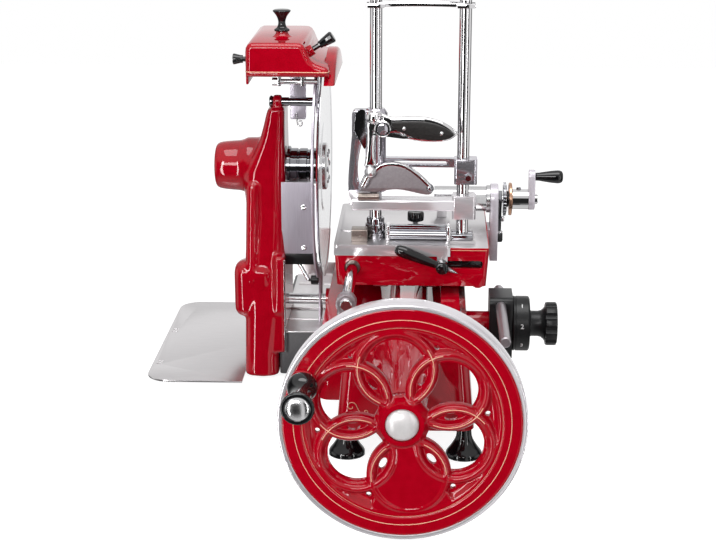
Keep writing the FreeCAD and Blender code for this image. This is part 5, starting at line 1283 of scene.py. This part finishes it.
def makeRoom():
    # plain white to the eye; polished work shows it as a white room with dark cards in front and beside
    world = bpy.data.worlds.new("studio")
    bpy.context.scene.world = world
    world.use_nodes = True
    nodes, links = world.node_tree.nodes, world.node_tree.links
    fill = nodes["Background"]
    fill.inputs["Color"].default_value, fill.inputs["Strength"].default_value = (1, 1, 1, 1), studio["fill"]
    white = nodes.new("ShaderNodeBackground")
    white.inputs["Color"].default_value, white.inputs["Strength"].default_value = (1, 1, 1, 1), 1.0
    cards = nodes.new("ShaderNodeBackground")
    cards.inputs["Strength"].default_value = 1.0
    place = nodes.new("ShaderNodeTexCoord")
    split = nodes.new("ShaderNodeSeparateXYZ")
    links.new(place.outputs["Generated"], split.inputs["Vector"])
    bands = {}
    for axis, stops in (("Z", studio["upBands"]), ("Y", studio["depthBands"]), ("X", studio["sideBands"])):
        spread = nodes.new("ShaderNodeMapRange")
        spread.inputs["From Min"].default_value, spread.inputs["From Max"].default_value = -1, 1
        ramp = nodes.new("ShaderNodeValToRGB")
        elements = ramp.color_ramp.elements
        while len(elements) < len(stops):
            elements.new(0.5)
        for element, (position, level) in zip(elements, stops):
            element.position, element.color = (position + 1) / 2, (level, level, level, 1)
        links.new(split.outputs[axis], spread.inputs["Value"])
        links.new(spread.outputs["Result"], ramp.inputs["Fac"])
        bands[axis] = ramp.outputs["Color"]
    # the cards stand where all three bands are dark
    sideOrUp = nodes.new("ShaderNodeMix")
    sideOrUp.data_type, sideOrUp.blend_type = "RGBA", "LIGHTEN"
    sideOrUp.inputs["Factor"].default_value = 1
    links.new(bands["X"], sideOrUp.inputs["A"])
    links.new(bands["Z"], sideOrUp.inputs["B"])
    orDepth = nodes.new("ShaderNodeMix")
    orDepth.data_type, orDepth.blend_type = "RGBA", "LIGHTEN"
    orDepth.inputs["Factor"].default_value = 1
    links.new(sideOrUp.outputs["Result"], orDepth.inputs["A"])
    links.new(bands["Y"], orDepth.inputs["B"])
    links.new(orDepth.outputs["Result"], cards.inputs["Color"])
    ray = nodes.new("ShaderNodeLightPath")
    glossOrGlass = nodes.new("ShaderNodeMath")
    glossOrGlass.operation = "MAXIMUM"
    links.new(ray.outputs["Is Glossy Ray"], glossOrGlass.inputs[0])
    links.new(ray.outputs["Is Transmission Ray"], glossOrGlass.inputs[1])
    polished, seen = nodes.new("ShaderNodeMixShader"), nodes.new("ShaderNodeMixShader")
    links.new(glossOrGlass.outputs["Value"], polished.inputs["Fac"])
    links.new(fill.outputs["Background"], polished.inputs[1])
    links.new(cards.outputs["Background"], polished.inputs[2])
    links.new(ray.outputs["Is Camera Ray"], seen.inputs["Fac"])
    links.new(polished.outputs["Shader"], seen.inputs[1])
    links.new(white.outputs["Background"], seen.inputs[2])
    links.new(seen.outputs["Shader"], nodes["World Output"].inputs["Surface"])


def makeFloor():
    # it glows a little to the eye, so that it joins the white room and still keeps the shadow
    deselect()
    bpy.ops.mesh.primitive_plane_add(size=6, location=at(0, 400, 0))
    floor = bakePlace(named(bpy.context.object, "floor"))
    paint = bpy.data.materials.new("floorPaint")
    paint.use_nodes = True
    nodes, links = paint.node_tree.nodes, paint.node_tree.links
    shader = nodes["Principled BSDF"]
    shader.inputs["Base Color"].default_value = (*[studio["floorShade"]] * 3, 1)
    shader.inputs["Roughness"].default_value = 0.7
    shader.inputs["Specular IOR Level"].default_value = 0.1
    glow = nodes.new("ShaderNodeEmission")
    glow.inputs["Strength"].default_value = studio["floorGlow"]
    both, pickRay = nodes.new("ShaderNodeAddShader"), nodes.new("ShaderNodeMixShader")
    ray = nodes.new("ShaderNodeLightPath")
    links.new(shader.outputs["BSDF"], both.inputs[0])
    links.new(glow.outputs["Emission"], both.inputs[1])
    links.new(ray.outputs["Is Camera Ray"], pickRay.inputs["Fac"])
    links.new(shader.outputs["BSDF"], pickRay.inputs[1])
    links.new(both.outputs["Shader"], pickRay.inputs[2])
    links.new(pickRay.outputs["Shader"], nodes["Material Output"].inputs["Surface"])
    floor.data.materials.append(paint)
    floor.visible_glossy = False


makeRoom()
makeFloor()
for name, size, place, target, power in studio["lamps"]:
    makeLamp(name, size, at(*place), at(*target), power)

deselect()
aim = (math.radians(90 - studio["cameraTilt"]), 0, math.radians(studio["cameraTurn"]))
bpy.ops.object.camera_add(location=at(*studio["camera"]), rotation=aim)
camera = named(bpy.context.object, "camera")
camera.data.lens, camera.data.sensor_width = studio["lens"], 36
bpy.context.scene.camera = camera
bpy.context.scene.view_settings.view_transform = "Standard"
